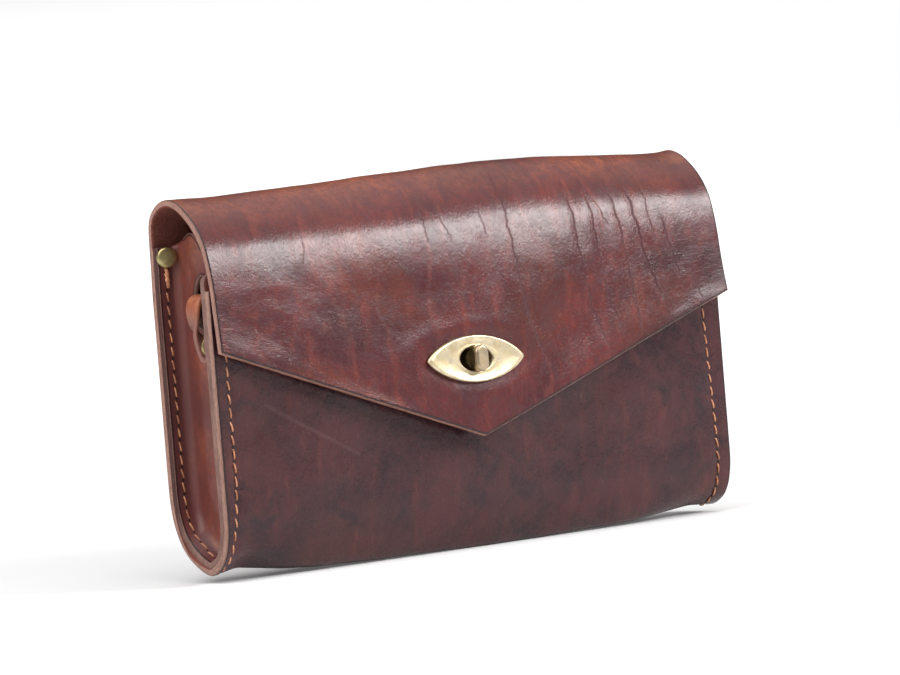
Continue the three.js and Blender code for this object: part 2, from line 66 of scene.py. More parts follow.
# Sizes of the end pieces
GUSSET = 2.7
RECESS = 9.5
FRONT_FLANGE_RISE = 7.0
CREST = 3.7
CREST_LIFT = 2.6
FOLD = 4.0
SEAT_GAP = 0.08
FLANGE_CORNER = 4.0
INSIDE_STITCH_INSET = 3.9
SLOT_WIDTH = 11.4
SLOT_HEIGHT = 21.0
SLOT_Z = 115.0
SLOT_Y = -2.6

# Sizes of the straps and rivets
STRAP_WIDTH = 10.0
STRAP_THICKNESS = 2.0
STRAP_BOW = 12.9
RIVET_DIAMETER = 8.7
RIVET_HEIGHT = 1.9
OUTER_CAP_DIAMETER = 7.0
OUTER_CAP_HEIGHT = 1.1
OUTER_CAP_SHIFT = 1.1
RIVET_INSET = 4.7
BACK_RIVET_DROP = 4.3
STRAP_RIVET_Z = 96.9

# Sizes of the turn lock
LOCK_X = -7.0
LOCK_Z = 79.7
LOCK_TURN = math.radians(-2.5)
PLATE_LENGTH = 50.3
PLATE_HEIGHT = 19.7
PLATE_RISE = 1.95
HOLE_LENGTH = 17.0
HOLE_HEIGHT = 10.7
COLLAR = 0.9
COLLAR_LIP = 2.5
KNOB_LENGTH = 11.2
KNOB_WIDTH = 6.6
KNOB_BASE = 1.9
KNOB_TOP = 6.2
NECK_RADIUS = 1.8
NECK_FLANGE_RADIUS = 2.5

# Sizes of the stitches
STITCH_PITCH = 5.6
STITCH_LENGTH = 4.7
STITCH_HOLE_RADIUS = 0.75
THREAD_RADIUS = 0.4
KNOT_LENGTH = 4.4
KNOT_RADIUS = 0.85
LEFT_STITCH_INSET = 6.0
LEFT_STITCH_DRIFT = 3.0
RIGHT_STITCH_INSET = 7.0
RIGHT_STITCH_DRIFT = 2.3

HALF_LENGTH = BAG_LENGTH / 2
HALF_DEPTH = BAG_DEPTH / 2

# Material slots of a leather piece
GRAIN_SIDE = 0
FLESH_SIDE = 1
CUT_SIDE = 2

# Lengthwise shape: share of the half length, share of the crown, share of the belly
LENGTH_TABLE = np.array([
    [-1, 0, 0], [-0.955, 0, -0.4], [-0.91, 0, -0.73], [-0.86, -0.04, -0.47], [-0.79, -0.08, 0],
    [-0.65, 0, 0.6], [-0.5, 0.21, 0.7], [-0.3, 0.48, 0.9], [-0.1, 0.68, 1], [0.1, 0.96, 1],
    [0.25, 0.98, 1], [0.4, 0.8, 0.9], [0.55, 0.5, 0.8], [0.7, 0.18, 0.47], [0.8, -0.04, 0.1],
    [0.9, -0.3, -0.13], [0.955, -0.36, 0], [1, -0.2, 0],
])
FRONT_ROWS = [1, 0.73, 0.47, 0.2, 0]
# Bottom fold: share of the half depth, share of the corner height, sag
BOTTOM_ROWS = [
    [-1, 0.76, 0.4], [-0.955, 0.35, 0.9], [-0.828, 0.18, 1.2], [-0.59, 0.06, 1.75],
    [-0.305, 0, 1], [0.015, 0.036, 1.5], [0.35, 0.128, 2.9], [0.61, 0.239, 2.2],
    [0.795, 0.373, 1.4], [0.92, 0.523, 0.9], [0.985, 0.71, 0.4], [1, 1, 0],
]
BACK_ROWS = [0.25, 0.5, 0.75, 1]
# Top roll: share of the half depth, share of the flap's stand-off, rise
ROLL_ROWS = [
    [0.98, 0, 0.25], [0.968, 0, 0.488], [0.958, 0, 0.62], [0.94, 0, 0.72], [0.867, 0, 0.825],
    [0.69, 0, 0.92], [0.483, 0, 0.98], [0.246, 0, 1], [-0.074, 0, 0.958], [-0.443, 0, 0.831],
    [-0.72, 0.28, 0.655], [-0.88, 0.5, 0.475], [-0.97, 0.66, 0.264],
]
FLAP_ROWS = 9
BACK_FLANGE_ROW = len(FRONT_ROWS) + len(BOTTOM_ROWS) + len(BACK_ROWS) + 1
APEX_ROW = BACK_FLANGE_ROW + 6
BACK_FLANGE_TOP = FRONT_HEIGHT + (ROLL_HEIGHT - FRONT_HEIGHT) * ROLL_ROWS[1][2]


def hermite(t, knots, values):
    """Smooth curve through values (one row per knot), read at each t."""
    t = np.clip(np.asarray(t, float), knots[0], knots[-1])
    i = np.clip(np.searchsorted(knots, t, side="right") - 1, 0, len(knots) - 2)
    step = knots[i + 1] - knots[i]
    slopes = np.gradient(values, knots, axis=0)
    shape = (-1,) + (1,) * (values.ndim - 1)
    u = ((t - knots[i]) / step).reshape(shape)
    step = step.reshape(shape)
    a = (1 + 2 * u) * (1 - u) ** 2
    b = u * (1 - u) ** 2
    c = u * u * (3 - 2 * u)
    d = u * u * (u - 1)
    return a * values[i] + b * step * slopes[i] + c * values[i + 1] + d * step * slopes[i + 1]


def smooth(low, high, value):
    """0 below low, 1 above high and an even blend between them."""
    t = np.clip((value - low) / (high - low), 0, 1)
    return t * t * (3 - 2 * t)


def soft_noise(x, y, size, seed, waves=26):
    """Even wavy noise of about -1 to 1 with lumps of about the given size."""
    rng = np.random.default_rng(seed)
    total = np.zeros(np.broadcast(x, y).shape)
    for _ in range(waves):
        angle = rng.uniform(0, math.tau)
        rate = math.tau / size * rng.uniform(0.45, 1.15)
        along = x * math.cos(angle) + y * math.sin(angle)
        total += np.sin(along * rate + rng.uniform(0, math.tau))
    return total / math.sqrt(waves) * 0.8


def bow(x, z):
    """How far the front bows outward."""
    up = np.maximum(0, 1 - (2 * z / ROLL_HEIGHT - 1) ** 2)
    return FRONT_BULGE * (1 - (x / HALF_LENGTH) ** 2) ** 2 * up


def flap_curl(x, z):
    """How far the flap's right corner has curled outward."""
    along = np.maximum(0, (x / HALF_LENGTH - CORNER_CURL_START) / (1 - CORNER_CURL_START))
    down = np.clip((FRONT_HEIGHT - z) / (FRONT_HEIGHT - FLAP_CORNER_HEIGHT), 0, 1)
    return CORNER_CURL * along ** 2 * down ** 2


def flap_y(x, z):
    """Outer face of the flap below the roll."""
    fall = (FRONT_HEIGHT - z) * math.tan(FLAP_FLARE)
    return -HALF_DEPTH - LEATHER - FLAP_CLEARANCE - fall - bow(x, z) - flap_curl(x, z)


def flap_edge_z(x):
    """Height of the flap's cut edge."""
    reach = np.where(x < FLAP_TIP_X, FLAP_TIP_X + HALF_LENGTH, HALF_LENGTH - FLAP_TIP_X)
    share = np.abs(x - FLAP_TIP_X) / reach
    lift = np.where(x > FLAP_TIP_X, CORNER_CURL_LIFT * CORNER_CURL * share ** 2, 0)
    return FLAP_TIP_HEIGHT + (FLAP_CORNER_HEIGHT - FLAP_TIP_HEIGHT) * share + lift


def outline(x):
    """Rows of the sheet's outer outline at each x, as an array of rows, places and (y, z)."""
    x = np.atleast_1d(np.asarray(x, float))
    shares = hermite(x / HALF_LENGTH, LENGTH_TABLE[:, 0], LENGTH_TABLE[:, 1:])
    top = ROLL_HEIGHT + CROWN_RISE * shares[:, 0]
    belly = shares[:, 1]
    rows = []
    for share in FRONT_ROWS:
        z = CORNER_HEIGHT + (FRONT_HEIGHT - CORNER_HEIGHT) * share + 0 * x
        rows.append((-HALF_DEPTH - bow(x, z), z))
    for y, rise, sag in BOTTOM_ROWS:
        z = END_LIFT + (CORNER_HEIGHT - END_LIFT) * rise - END_LIFT * sag * belly
        z = np.maximum(0, z)
        rows.append((HALF_DEPTH * y + bow(x, z) * min(0, y), z))
    for share in BACK_ROWS:
        rows.append((HALF_DEPTH + 0 * x, CORNER_HEIGHT + (FRONT_HEIGHT - CORNER_HEIGHT) * share + 0 * x))
    for y, stand, rise in ROLL_ROWS:
        z = FRONT_HEIGHT + (top - FRONT_HEIGHT) * rise
        out = stand * (LEATHER + FLAP_CLEARANCE)
        rows.append((HALF_DEPTH * y - out + bow(x, z) * min(0, y), z))
    edge = flap_edge_z(x)
    for i in range(FLAP_ROWS):
        z = FRONT_HEIGHT + (edge - FRONT_HEIGHT) * i / (FLAP_ROWS - 1)
        rows.append((flap_y(x, z), z))
    return np.array(rows).transpose(0, 2, 1)


# Distance along the sheet of each row, measured where the flap is longest
middle_outline = outline([FLAP_TIP_X])[:, 0]
ROW_AT = np.concatenate([[0], np.cumsum(np.hypot(*np.diff(middle_outline, axis=0).T))])
SHEET_LENGTH = ROW_AT[-1]
APEX_AT = ROW_AT[APEX_ROW]
BACK_TOP_AT = ROW_AT[BACK_FLANGE_ROW]


def sheet_points(x, at):
    """Outer points of the sheet on the grid of x and distance along it."""
    x = np.asarray(x, float)
    at = np.asarray(at, float)
    yz = hermite(at, ROW_AT, outline(x))
    points = np.zeros((len(x), len(at), 3))
    points[:, :, 0] = x[:, None]
    points[:, :, 1] = yz[:, :, 0].T
    points[:, :, 2] = yz[:, :, 1].T
    above = np.maximum(0, -at)
    points[:, :, 2] += above[None, :]
    return points


def section_normals(x, at):
    """Outward normals within each cross-section of the sheet."""
    at = np.asarray(at, float)
    step = 0.25
    low = np.clip(at - step, 0, SHEET_LENGTH - 2 * step)
    run = sheet_points(x, low + 2 * step) - sheet_points(x, low)
    normal = np.zeros_like(run)
    normal[:, :, 1] = run[:, :, 2]
    normal[:, :, 2] = -run[:, :, 1]
    return normal / np.linalg.norm(normal, axis=2, keepdims=True)


def grid_normals(points):
    """Outward normals of a grid of points."""
    along = np.gradient(points, axis=1)
    across = np.gradient(points, axis=0)
    normal = np.cross(along, across)
    return normal / np.maximum(1e-9, np.linalg.norm(normal, axis=2, keepdims=True))


# Frame of the turn lock, on the flap's outer face
lock_y = float(flap_y(LOCK_X, LOCK_Z))
lock_axis = Vector((0, -math.cos(FLAP_FLARE), math.sin(FLAP_FLARE)))
lock_up = Vector((0, math.sin(FLAP_FLARE), math.cos(FLAP_FLARE)))
lock_up.rotate(Matrix.Rotation(LOCK_TURN, 3, lock_axis))
lock_side = lock_up.cross(lock_axis)
LOCK_ORIGIN = np.array([LOCK_X, lock_y, LOCK_Z])
LOCK_AXES = np.array([lock_side[:], lock_up[:], lock_axis[:]])


def from_lock(points):
    """Points of the lock's own frame moved into the bag's frame."""
    return np.asarray(points) @ LOCK_AXES + LOCK_ORIGIN


def to_lock(points):
    """Points of the bag's frame read in the lock's own frame."""
    return (np.asarray(points) - LOCK_ORIGIN) @ LOCK_AXES.T


def steps(low, high, spacing):
    """Places from low to high, close together near both ends."""
    ends = np.array([0, 0.12, 0.3, 0.52, 0.8, 1.2, 1.8])
    count = int((high - low - 5) / spacing) + 1
    middle = np.linspace(low + 2.5, high - 2.5, count)
    return np.concatenate([low + ends, middle, (high - ends)[::-1]])


# Building meshes

def make_object(name, points, faces, materials, face_slots=None):
    """Mesh object from points in millimetres."""
    mesh = bpy.data.meshes.new(name)
    mesh.from_pydata((np.asarray(points, float) * METRE).tolist(), [], faces)
    for material in materials:
        mesh.materials.append(material)
    if face_slots is not None:
        mesh.polygons.foreach_set("material_index", np.asarray(face_slots, np.int32))
    mesh.polygons.foreach_set("use_smooth", [True] * len(mesh.polygons))
    mesh.update()
    obj = bpy.data.objects.new(name, mesh)
    bpy.context.scene.collection.objects.link(obj)
    return obj


def add_attribute(obj, name, values):
    """One number for each point of the mesh."""
    layer = obj.data.attributes.new(name, "FLOAT", "POINT")
    layer.data.foreach_set("value", np.asarray(values, np.float32).ravel())


def add_uv(obj, uv):
    """Map that gives each point its place on the sheet, in decimetres."""
    layer = obj.data.uv_layers.new(name="sheet_map")
    corner_points = np.zeros(len(obj.data.loops), np.int32)
    obj.data.loops.foreach_get("vertex_index", corner_points)
    layer.data.foreach_set("uv", (np.asarray(uv)[corner_points] / 100).astype(np.float32).ravel())


def finish_piece(obj, body, nodes):
    """Ties a piece to its CAD body and hides the CAD nodes it stands for."""
    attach(obj, body)
    if nodes:
        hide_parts(*nodes)
    return obj


def ring_faces(first, second, count, closed=True):
    """Faces between two rows of points."""
    last = count if closed else count - 1
    return [
        (first + i, first + (i + 1) % count, second + (i + 1) % count, second + i) for i in range(last)
    ]


# Material helpers

class Shade:
    """Short way to write the nodes of a material or of the world."""

    def __init__(self, owner):
        """Takes the name of a new material, or the world."""
        self.owner = bpy.data.materials.new(owner) if isinstance(owner, str) else owner
        self.owner.use_nodes = True
        self.nodes = self.owner.node_tree.nodes
        self.links = self.owner.node_tree.links

    def put(self, node, name, value):
        """Sets or links one input."""
        socket = node.inputs[name]
        if isinstance(value, bpy.types.NodeSocket):
            self.links.new(value, socket)
        elif isinstance(value, tuple) and len(value) == 3 and socket.type == "RGBA":
            socket.default_value = (*value, 1)
        else:
            socket.default_value = value

    def math(self, operation, a, b=0.0, clamp=False):
        """One step of arithmetic."""
        node = self.nodes.new("ShaderNodeMath")
        node.operation = operation
        node.use_clamp = clamp
        self.put(node, 0, a)
        self.put(node, 1, b)
        return node.outputs[0]

    def plus(self, a, b):
        return self.math("ADD", a, b)

    def minus(self, a, b):
        return self.math("SUBTRACT", a, b)

    def times(self, a, b):
        return self.math("MULTIPLY", a, b)

    def total(self, parts):
        """Sum of outputs, each times its share."""
        whole = 0.0
        for output, share in parts:
            whole = self.plus(whole, self.times(output, share))
        return whole

    def mix(self, factor, a, b):
        """Second colour laid over the first by a factor."""
        node = self.nodes.new("ShaderNodeMix")
        node.data_type = "RGBA"
        self.put(node, 0, factor)
        self.put(node, 6, a)
        self.put(node, 7, b)
        return node.outputs[2]

    def span(self, value, low, high, out_low=0.0, out_high=1.0):
        """Even blend between two numbers while the value goes from low to high."""
        node = self.nodes.new("ShaderNodeMapRange")
        node.interpolation_type = "SMOOTHSTEP"
        for index, number in enumerate((value, low, high, out_low, out_high)):
            self.put(node, index, number)
        return node.outputs[0]

    def noise(self, where, scale, detail=4.0, roughness=0.55, distortion=0.0):
        node = self.nodes.new("ShaderNodeTexNoise")
        self.put(node, "Vector", where)
        self.put(node, "Scale", scale)
        self.put(node, "Detail", detail)
        self.put(node, "Roughness", roughness)
        self.put(node, "Distortion", distortion)
        return node.outputs["Fac"]

    def noise_color(self, where, scale):
        node = self.nodes.new("ShaderNodeTexNoise")
        self.put(node, "Vector", where)
        self.put(node, "Scale", scale)
        return node.outputs["Color"]

    def cells(self, where, scale):
        """Distance to the nearest border between cells."""
        node = self.nodes.new("ShaderNodeTexVoronoi")
        node.feature = "DISTANCE_TO_EDGE"
        self.put(node, "Vector", where)
        self.put(node, "Scale", scale)
        return node.outputs["Distance"]

    def scaled(self, where, factors):
        node = self.nodes.new("ShaderNodeVectorMath")
        node.operation = "MULTIPLY"
        self.put(node, 0, where)
        node.inputs[1].default_value = factors
        return node.outputs[0]

    def moved(self, where, offset):
        node = self.nodes.new("ShaderNodeVectorMath")
        node.operation = "ADD"
        self.put(node, 0, where)
        self.put(node, 1, offset)
        return node.outputs[0]

    def attribute(self, name):
        node = self.nodes.new("ShaderNodeAttribute")
        node.attribute_name = name
        return node.outputs["Fac"]

    def sheet_map(self):
        node = self.nodes.new("ShaderNodeUVMap")
        node.uv_map = "sheet_map"
        return node.outputs[0]

    def object_place(self):
        return self.nodes.new("ShaderNodeTexCoord").outputs["Object"]

    def split(self, where):
        node = self.nodes.new("ShaderNodeSeparateXYZ")
        self.put(node, 0, where)
        return node.outputs[0], node.outputs[1], node.outputs[2]

    def bump(self, height, strength, distance):
        """Normals of a fine relief."""
        node = self.nodes.new("ShaderNodeBump")
        self.put(node, "Height", height)
        self.put(node, "Strength", strength)
        self.put(node, "Distance", distance)
        return node.outputs[0]

    def patch(self, color, value, low, high, share, tone):
        """Second colour laid over the first where a value goes from low to high."""
        return self.mix(self.span(value, low, high, 0.0, share), color, tone)

    def finish(self, **inputs):
        """Sets the material's surface."""
        for name, value in inputs.items():
            self.put(self.nodes["Principled BSDF"], name.replace("_", " "), value)
        return self.owner


# Creases of the flap: place along the bag and distance below the top at the start, middle and end
# of each, then width and depth
CREASES = [
    (24.0, 15.0, 21.5, 46.0, 31.0, 110.0, 0.75, 0.75),
    (57.0, 25.0, 56.5, 60.0, 65.0, 119.0, 0.7, 0.95),
    (67.0, 22.0, 66.5, 50.0, 73.0, 112.0, 0.7, 0.9),
    (79.5, 27.0, 81.0, 60.0, 84.0, 119.0, 0.75, 0.9),
    (70.0, 31.0, 72.5, 39.0, 74.5, 45.0, 0.55, 0.6),
    (88.5, 26.0, 91.0, 60.0, 98.0, 104.0, 0.85, 1.2),
    (97.5, 28.0, 97.0, 40.0, 98.5, 54.0, 0.6, 0.65),
    (103.5, 42.0, 106.0, 61.0, 109.0, 92.0, 0.75, 0.95),
    (114.5, 84.0, 117.0, 105.0, 119.0, 122.0, 0.6, 0.6),
    (7.5, 30.0, 8.6, 37.0, 10.0, 45.0, 0.55, 0.4),
    (-22.5, 29.0, -22.0, 36.0, -21.5, 44.0, 0.6, 0.45),
    (-13.5, 31.0, -11.5, 37.0, -9.5, 45.0, 0.5, 0.4),
    (-84.0, 33.0, -85.0, 40.0, -87.0, 48.0, 0.7, 0.4),
]


def crease_curve(crease):
    """Start, length, first place, slope and bend of a crease."""
    x0, s0, x1, s1, x2, s2 = crease[:6]
    share = (s1 - s0) / (s2 - s0)
    bend = ((x1 - x0) - (x2 - x0) * share) / (share * share - share)
    return s0, s2 - s0, x0, (x2 - x0) - bend, bend


def crease_relief(x, down):
    """Soft folds that run along the creases."""
    relief = np.zeros(x.shape)
    for crease in CREASES:
        start, span, first, slope, bend = crease_curve(crease)
        t = (down - start) / span
        away = x - (first + slope * t + bend * t * t)
        inside = smooth(-0.08, 0.15, t) * smooth(1.08, 0.8, t) * crease[7]
        relief += inside * (0.20 * np.exp(-(((away + 3.4) / 2.6) ** 2)) - 0.09 * np.exp(-((away / 1.5) ** 2)))
    return relief


def crease_field(shade, across, down):
    """Sum of the flap's crease lines, 1 in the middle of a line, and of their soft shoulders."""
    lines = 0.0
    shoulders = 0.0
    for crease in CREASES:
        start, span, first, slope, bend = crease_curve(crease)
        width, depth = crease[6:]
        t = shade.math("DIVIDE", shade.minus(down, start), span)
        path = shade.plus(shade.times(t, slope), first)
        path = shade.plus(path, shade.times(shade.times(t, t), bend))
        away = shade.math("DIVIDE", shade.minus(across, path), 0.62 * width)
        near = shade.math("POWER", 2.718, shade.times(shade.times(away, away), -1.0))
        wide = shade.math("POWER", 2.718, shade.times(shade.times(away, away), -0.03))
        inside = shade.times(shade.span(t, -0.06, 0.12), shade.span(t, 1.06, 0.8))
        inside = shade.times(inside, depth)
        lines = shade.plus(lines, shade.times(near, inside))
        shoulders = shade.plus(shoulders, shade.times(wide, inside))
    return lines, shoulders


# Light scratches and rub marks: place along the bag and distance below the top at both ends, then
# width and strength
SCRATCHES = [
    (-130.5, 96.0, -125.5, 94.7, 0.38, 1.3),
    (-84.5, 55.6, -83.0, 56.0, 0.25, 0.7),
    (-74.0, 56.8, -72.6, 57.3, 0.25, 0.7),
    (-61.3, 90.8, -62.0, 100.3, 0.35, 0.10),
    (-52.0, 63.8, -53.0, 73.5, 0.7, 0.16),
    (-53.0, 73.5, -50.0, 83.0, 0.7, 0.16),
    (-50.0, 83.0, -43.5, 88.3, 0.7, 0.16),
    (-110.0, -263.4, -95.0, -254.6, 0.60, 0.12),
    (-95.0, -254.6, -80.0, -246.6, 0.60, 0.16),
    (-80.0, -246.6, -64.0, -237.8, 0.60, 0.12),
    (36.0, -283.0, 37.0, -282.3, 0.30, 0.60),
    (92.0, 37.0, 93.5, 37.4, 0.25, 0.50),
]


def scratch_field(shade, across, down):
    """Strength of the light scratches at a place."""
    total = 0.0
    for x0, s0, x1, s1, width, strength in SCRATCHES:
        length = math.hypot(x1 - x0, s1 - s0)
        ahead = ((x1 - x0) / length, (s1 - s0) / length)
        from_x = shade.minus(across, x0)
        from_s = shade.minus(down, s0)
        along = shade.plus(shade.times(from_x, ahead[0]), shade.times(from_s, ahead[1]))
        beside = shade.minus(shade.times(from_x, ahead[1]), shade.times(from_s, ahead[0]))
        near = shade.span(shade.math("ABSOLUTE", beside), 2 * width, 0.3 * width)
        past = shade.math("ABSOLUTE", shade.minus(along, length / 2))
        inside = shade.span(past, length / 2 + 0.4, length / 2 - 0.4)
        part = shade.times(shade.times(near, inside), strength)
        total = shade.plus(total, part)
    return total


def grain_color(shade, place, medium, small, fine):
    """Mottled colour of the grain face."""
    large = shade.noise(place, 2.6, 5, 0.6, 0.4)
    streak = shade.noise(shade.scaled(place, (9.0, 2.2, 1)), 2.0, 6, 0.6, 0.6)
    color = shade.mix(shade.span(large, 0.36, 0.64), (0.062, 0.013, 0.015), (0.112, 0.020, 0.020))
    color = shade.patch(color, medium, 0.45, 0.68, 0.5, (0.060, 0.021, 0.027))
    color = shade.patch(color, streak, 0.48, 0.70, 0.35, (0.270, 0.055, 0.036))
    # On the sheet the warm attribute also holds painted light along the roll, and the dark attribute holds
    # painted shadow below the flap's edge.
    warm_share = shade.times(shade.attribute("warm"), shade.span(medium, 0.28, 0.62, 1.0, 0.4))
    color = shade.mix(warm_share, color, (0.350, 0.088, 0.030))
    dark_share = shade.times(shade.attribute("dark"), shade.span(medium, 0.34, 0.62, 1.0, 0.6))
    color = shade.mix(dark_share, color, (0.022, 0.008, 0.011))
    color = shade.patch(color, small, 0.40, 0.66, 0.38, (0.055, 0.014, 0.018))
    return shade.patch(color, fine, 0.42, 0.72, 0.40, (0.030, 0.010, 0.013))


def grain_height(shade, place, warped, small, fine):
    """Relief of the grain face."""
    pebbles = shade.span(shade.cells(warped, 92.0), 0.0, 0.38)
    dimples = shade.span(shade.cells(warped, 46.0), 0.0, 0.22)
    wrinkle = shade.noise(shade.scaled(place, (26.0, 9.0, 1)), 2.2, 5, 0.6, 1.6)
    rumple = shade.noise(place, 14.0, 4, 0.55, 0.6)
    return shade.total([
        (pebbles, 0.15), (dimples, 0.11), (small, 0.6), (wrinkle, 0.28), (fine, 0.36), (rumple, 1.0),
    ])


def add_creases(shade, place, warped, color, height, rough):
    """Creases of the flap with painted shade along their lines, the fine folds beside them and the light
    scratches.
    """
    across, down, _ = shade.split(shade.scaled(place, (100, 100, 0)))
    sway = shade.noise(shade.scaled(place, (5.0, 14.0, 1)), 1.0, 3, 0.5)
    jog = shade.times(shade.minus(shade.noise(place, 48.0, 2, 0.5), 0.5), 0.8)
    shifted = shade.plus(shade.plus(across, shade.times(shade.minus(sway, 0.5), 3.4)), jog)
    lines, shoulders = crease_field(shade, shifted, down)
    broken = shade.span(shade.noise(place, 30.0, 4, 0.7), 0.30, 0.52, 0.35, 1.0)
    lines = shade.math("MULTIPLY", lines, broken, True)
    # Painted shade: the colour darkens along the crease lines, in addition to their relief and roughness.
    color = shade.mix(shade.times(lines, 0.95), color, (0.045, 0.006, 0.009))
    height = shade.minus(height, shade.times(lines, 1.1))
    rough = shade.plus(rough, shade.times(lines, 0.5))
    crackle = shade.cells(shade.scaled(warped, (1.0, 0.55, 1.0)), 64.0)
    folds = shade.times(shade.span(crackle, 0.16, 0.0), shoulders)
    height = shade.minus(height, shade.times(folds, 0.3))
    marks = scratch_field(shade, shade.plus(across, jog), down)
    color = shade.mix(shade.times(marks, 0.35), color, (0.42, 0.27, 0.25))
    return color, height, rough


def add_wear(shade, place, medium, small, color, rough):
    """Thin scratches, dark burnished borders and bare edges."""
    scratch = shade.span(shade.noise(shade.scaled(place, (60.0, 3.0, 1)), 1.6, 2, 0.5, 2.2), 0.69, 0.72)
    scratch = shade.times(scratch, shade.span(medium, 0.45, 0.6))
    color = shade.mix(shade.times(scratch, 0.4), color, (0.22, 0.10, 0.085))
    ragged = shade.plus(shade.attribute("border"), shade.times(shade.minus(small, 0.5), 0.5))
    burnish = shade.times(shade.span(ragged, 1.4, 0.9), shade.span(ragged, 0.25, 0.4))
    color = shade.mix(shade.times(burnish, 0.85), color, (0.018, 0.009, 0.010))
    bare = shade.span(ragged, 0.36, 0.2)
    color = shade.mix(shade.times(bare, 0.8), color, (0.300, 0.160, 0.120))
    return color, shade.plus(rough, shade.times(bare, 0.2))


def grain_leather(name, on_sheet):
    """Oiled, worn outer face of the leather, with the sheet's creases or in the end pieces' paler tone."""
    shade = Shade(name)
    place = shade.sheet_map() if on_sheet else shade.scaled(shade.object_place(), (10, 10, 10))
    medium = shade.noise(place, 9.0, 6, 0.62, 0.8)
    small = shade.noise(place, 34.0, 5, 0.65, 0.5)
    fine = shade.noise(place, 95.0, 4, 0.7)
    warped = shade.moved(place, shade.scaled(shade.noise_color(place, 22.0), (0.03, 0.03, 0.0)))
    color = grain_color(shade, place, medium, small, fine)
    height = grain_height(shade, place, warped, small, fine)
    rough = shade.span(medium, 0.3, 0.7, *((0.24, 0.29) if on_sheet else (0.36, 0.44)))
    rough = shade.plus(rough, shade.times(shade.span(small, 0.4, 0.7), 0.05))
    if on_sheet:
        color, height, rough = add_creases(shade, place, warped, color, height, rough)
    else:
        color = shade.mix(0.3, color, (0.235, 0.082, 0.070))
    color, rough = add_wear(shade, place, medium, small, color, rough)
    return shade.finish(
        Base_Color=color, Roughness=rough, Normal=shade.bump(height, 0.30, 0.0004),
        Specular_IOR_Level=0.33, Coat_Weight=0.06, Coat_Roughness=0.2)


def flesh_leather():
    """Rough inner face of the leather."""
    shade = Shade("leather_flesh_side")
    place = shade.object_place()
    large = shade.noise(place, 45.0, 4, 0.6)
    fine = shade.noise(place, 900.0, 4, 0.7)
    color = shade.mix(shade.span(large, 0.35, 0.65), (0.115, 0.034, 0.026), (0.220, 0.068, 0.052))
    color = shade.patch(color, fine, 0.35, 0.7, 0.5, (0.260, 0.092, 0.068))
    normal = shade.bump(fine, 0.6, 0.0004)
    return shade.finish(
        Base_Color=color, Roughness=0.92, Normal=normal, Specular_IOR_Level=0.2)


def cut_leather(name, pale, deep, pale_ends):
    """Cut edge of the leather; pale_ends makes the edges at the bag's ends greyer."""
    shade = Shade(name)
    place = shade.object_place()
    x, y, z = shade.split(place)
    large = shade.noise(place, 90.0, 4, 0.6)
    fibre = shade.noise(place, 1400.0, 4, 0.7)
    layers = shade.noise(shade.scaled(place, (1, 6, 1)), 260.0, 3, 0.6)
    color = shade.mix(shade.span(large, 0.35, 0.65), deep, pale)
    if pale_ends:
        at_end = shade.span(shade.math("ABSOLUTE", x), 0.1310, 0.1325, 0.0, 0.85)
        color = shade.mix(at_end, color, (0.390, 0.225, 0.180))
    else:
        back = shade.times(shade.span(y, 0.008, 0.013), shade.span(z, 0.015, 0.030))
        color = shade.mix(back, color, (0.052, 0.016, 0.013))
    color = shade.patch(color, layers, 0.5, 0.68, 0.6, (0.110, 0.055, 0.045))
    color = shade.patch(color, fibre, 0.4, 0.75, 0.5, (0.130, 0.055, 0.040))
    normal = shade.bump(shade.plus(fibre, layers), 0.5, 0.0003)
    return shade.finish(Base_Color=color, Roughness=0.66, Normal=normal, Specular_IOR_Level=0.35)


def strap_leather():
    """Smooth orange-tan strap leather, with painted shade on its lower part."""
    shade = Shade("leather_tan_strap")
    place = shade.object_place()
    _, _, z = shade.split(place)
    large = shade.noise(place, 120.0, 4, 0.6)
    fine = shade.noise(place, 1300.0, 5, 0.65)
    streak = shade.noise(shade.scaled(place, (1, 1, 0.12)), 900.0, 3, 0.6)
    color = shade.mix(shade.span(large, 0.35, 0.68), (0.34, 0.100, 0.048), (0.52, 0.175, 0.080))
    # Painted shade: below the top of its bend the strap turns a darker pinkish brown, where less light
    # reaches it.
    color = shade.patch(color, z, 0.1135, 0.1055, 0.8, (0.215, 0.105, 0.092))
    color = shade.patch(color, streak, 0.45, 0.7, 0.4, (0.16, 0.055, 0.038))
    color = shade.patch(color, fine, 0.4, 0.75, 0.35, (0.14, 0.05, 0.03))
    normal = shade.bump(fine, 0.35, 0.0002)
    return shade.finish(Base_Color=color, Roughness=0.48, Normal=normal)


def aged_brass(name, light, dull, roughness):
    """Polished brass that has dulled unevenly."""
    shade = Shade(name)
    place = shade.object_place()
    cloud = shade.noise(place, 150.0, 5, 0.6, 0.8)
    speck = shade.noise(place, 1500.0, 3, 0.6)
    color = shade.mix(shade.span(cloud, 0.36, 0.70), light, dull)
    color = shade.patch(color, speck, 0.62, 0.78, 0.35, (0.22, 0.15, 0.07))
    rough = shade.span(cloud, 0.3, 0.7, roughness, roughness + 0.14)
    normal = shade.bump(shade.plus(cloud, shade.times(speck, 0.25)), 0.12, 0.0003)
    return shade.finish(Base_Color=color, Metallic=1.0, Roughness=rough, Normal=normal)


def thread_material():
    """Waxed orange-tan thread."""
    shade = Shade("waxed_thread")
    place = shade.object_place()
    dirt = shade.noise(place, 260.0, 4, 0.6)
    twist = shade.noise(shade.scaled(place, (1, 1, 2.4)), 900.0, 2, 0.5)
    color = shade.mix(shade.span(dirt, 0.38, 0.64), (0.34, 0.130, 0.062), (0.62, 0.275, 0.140))
    color = shade.patch(color, twist, 0.5, 0.7, 0.5, (0.12, 0.04, 0.02))
    normal = shade.bump(twist, 0.7, 0.0003)
    return shade.finish(Base_Color=color, Roughness=0.6, Normal=normal)


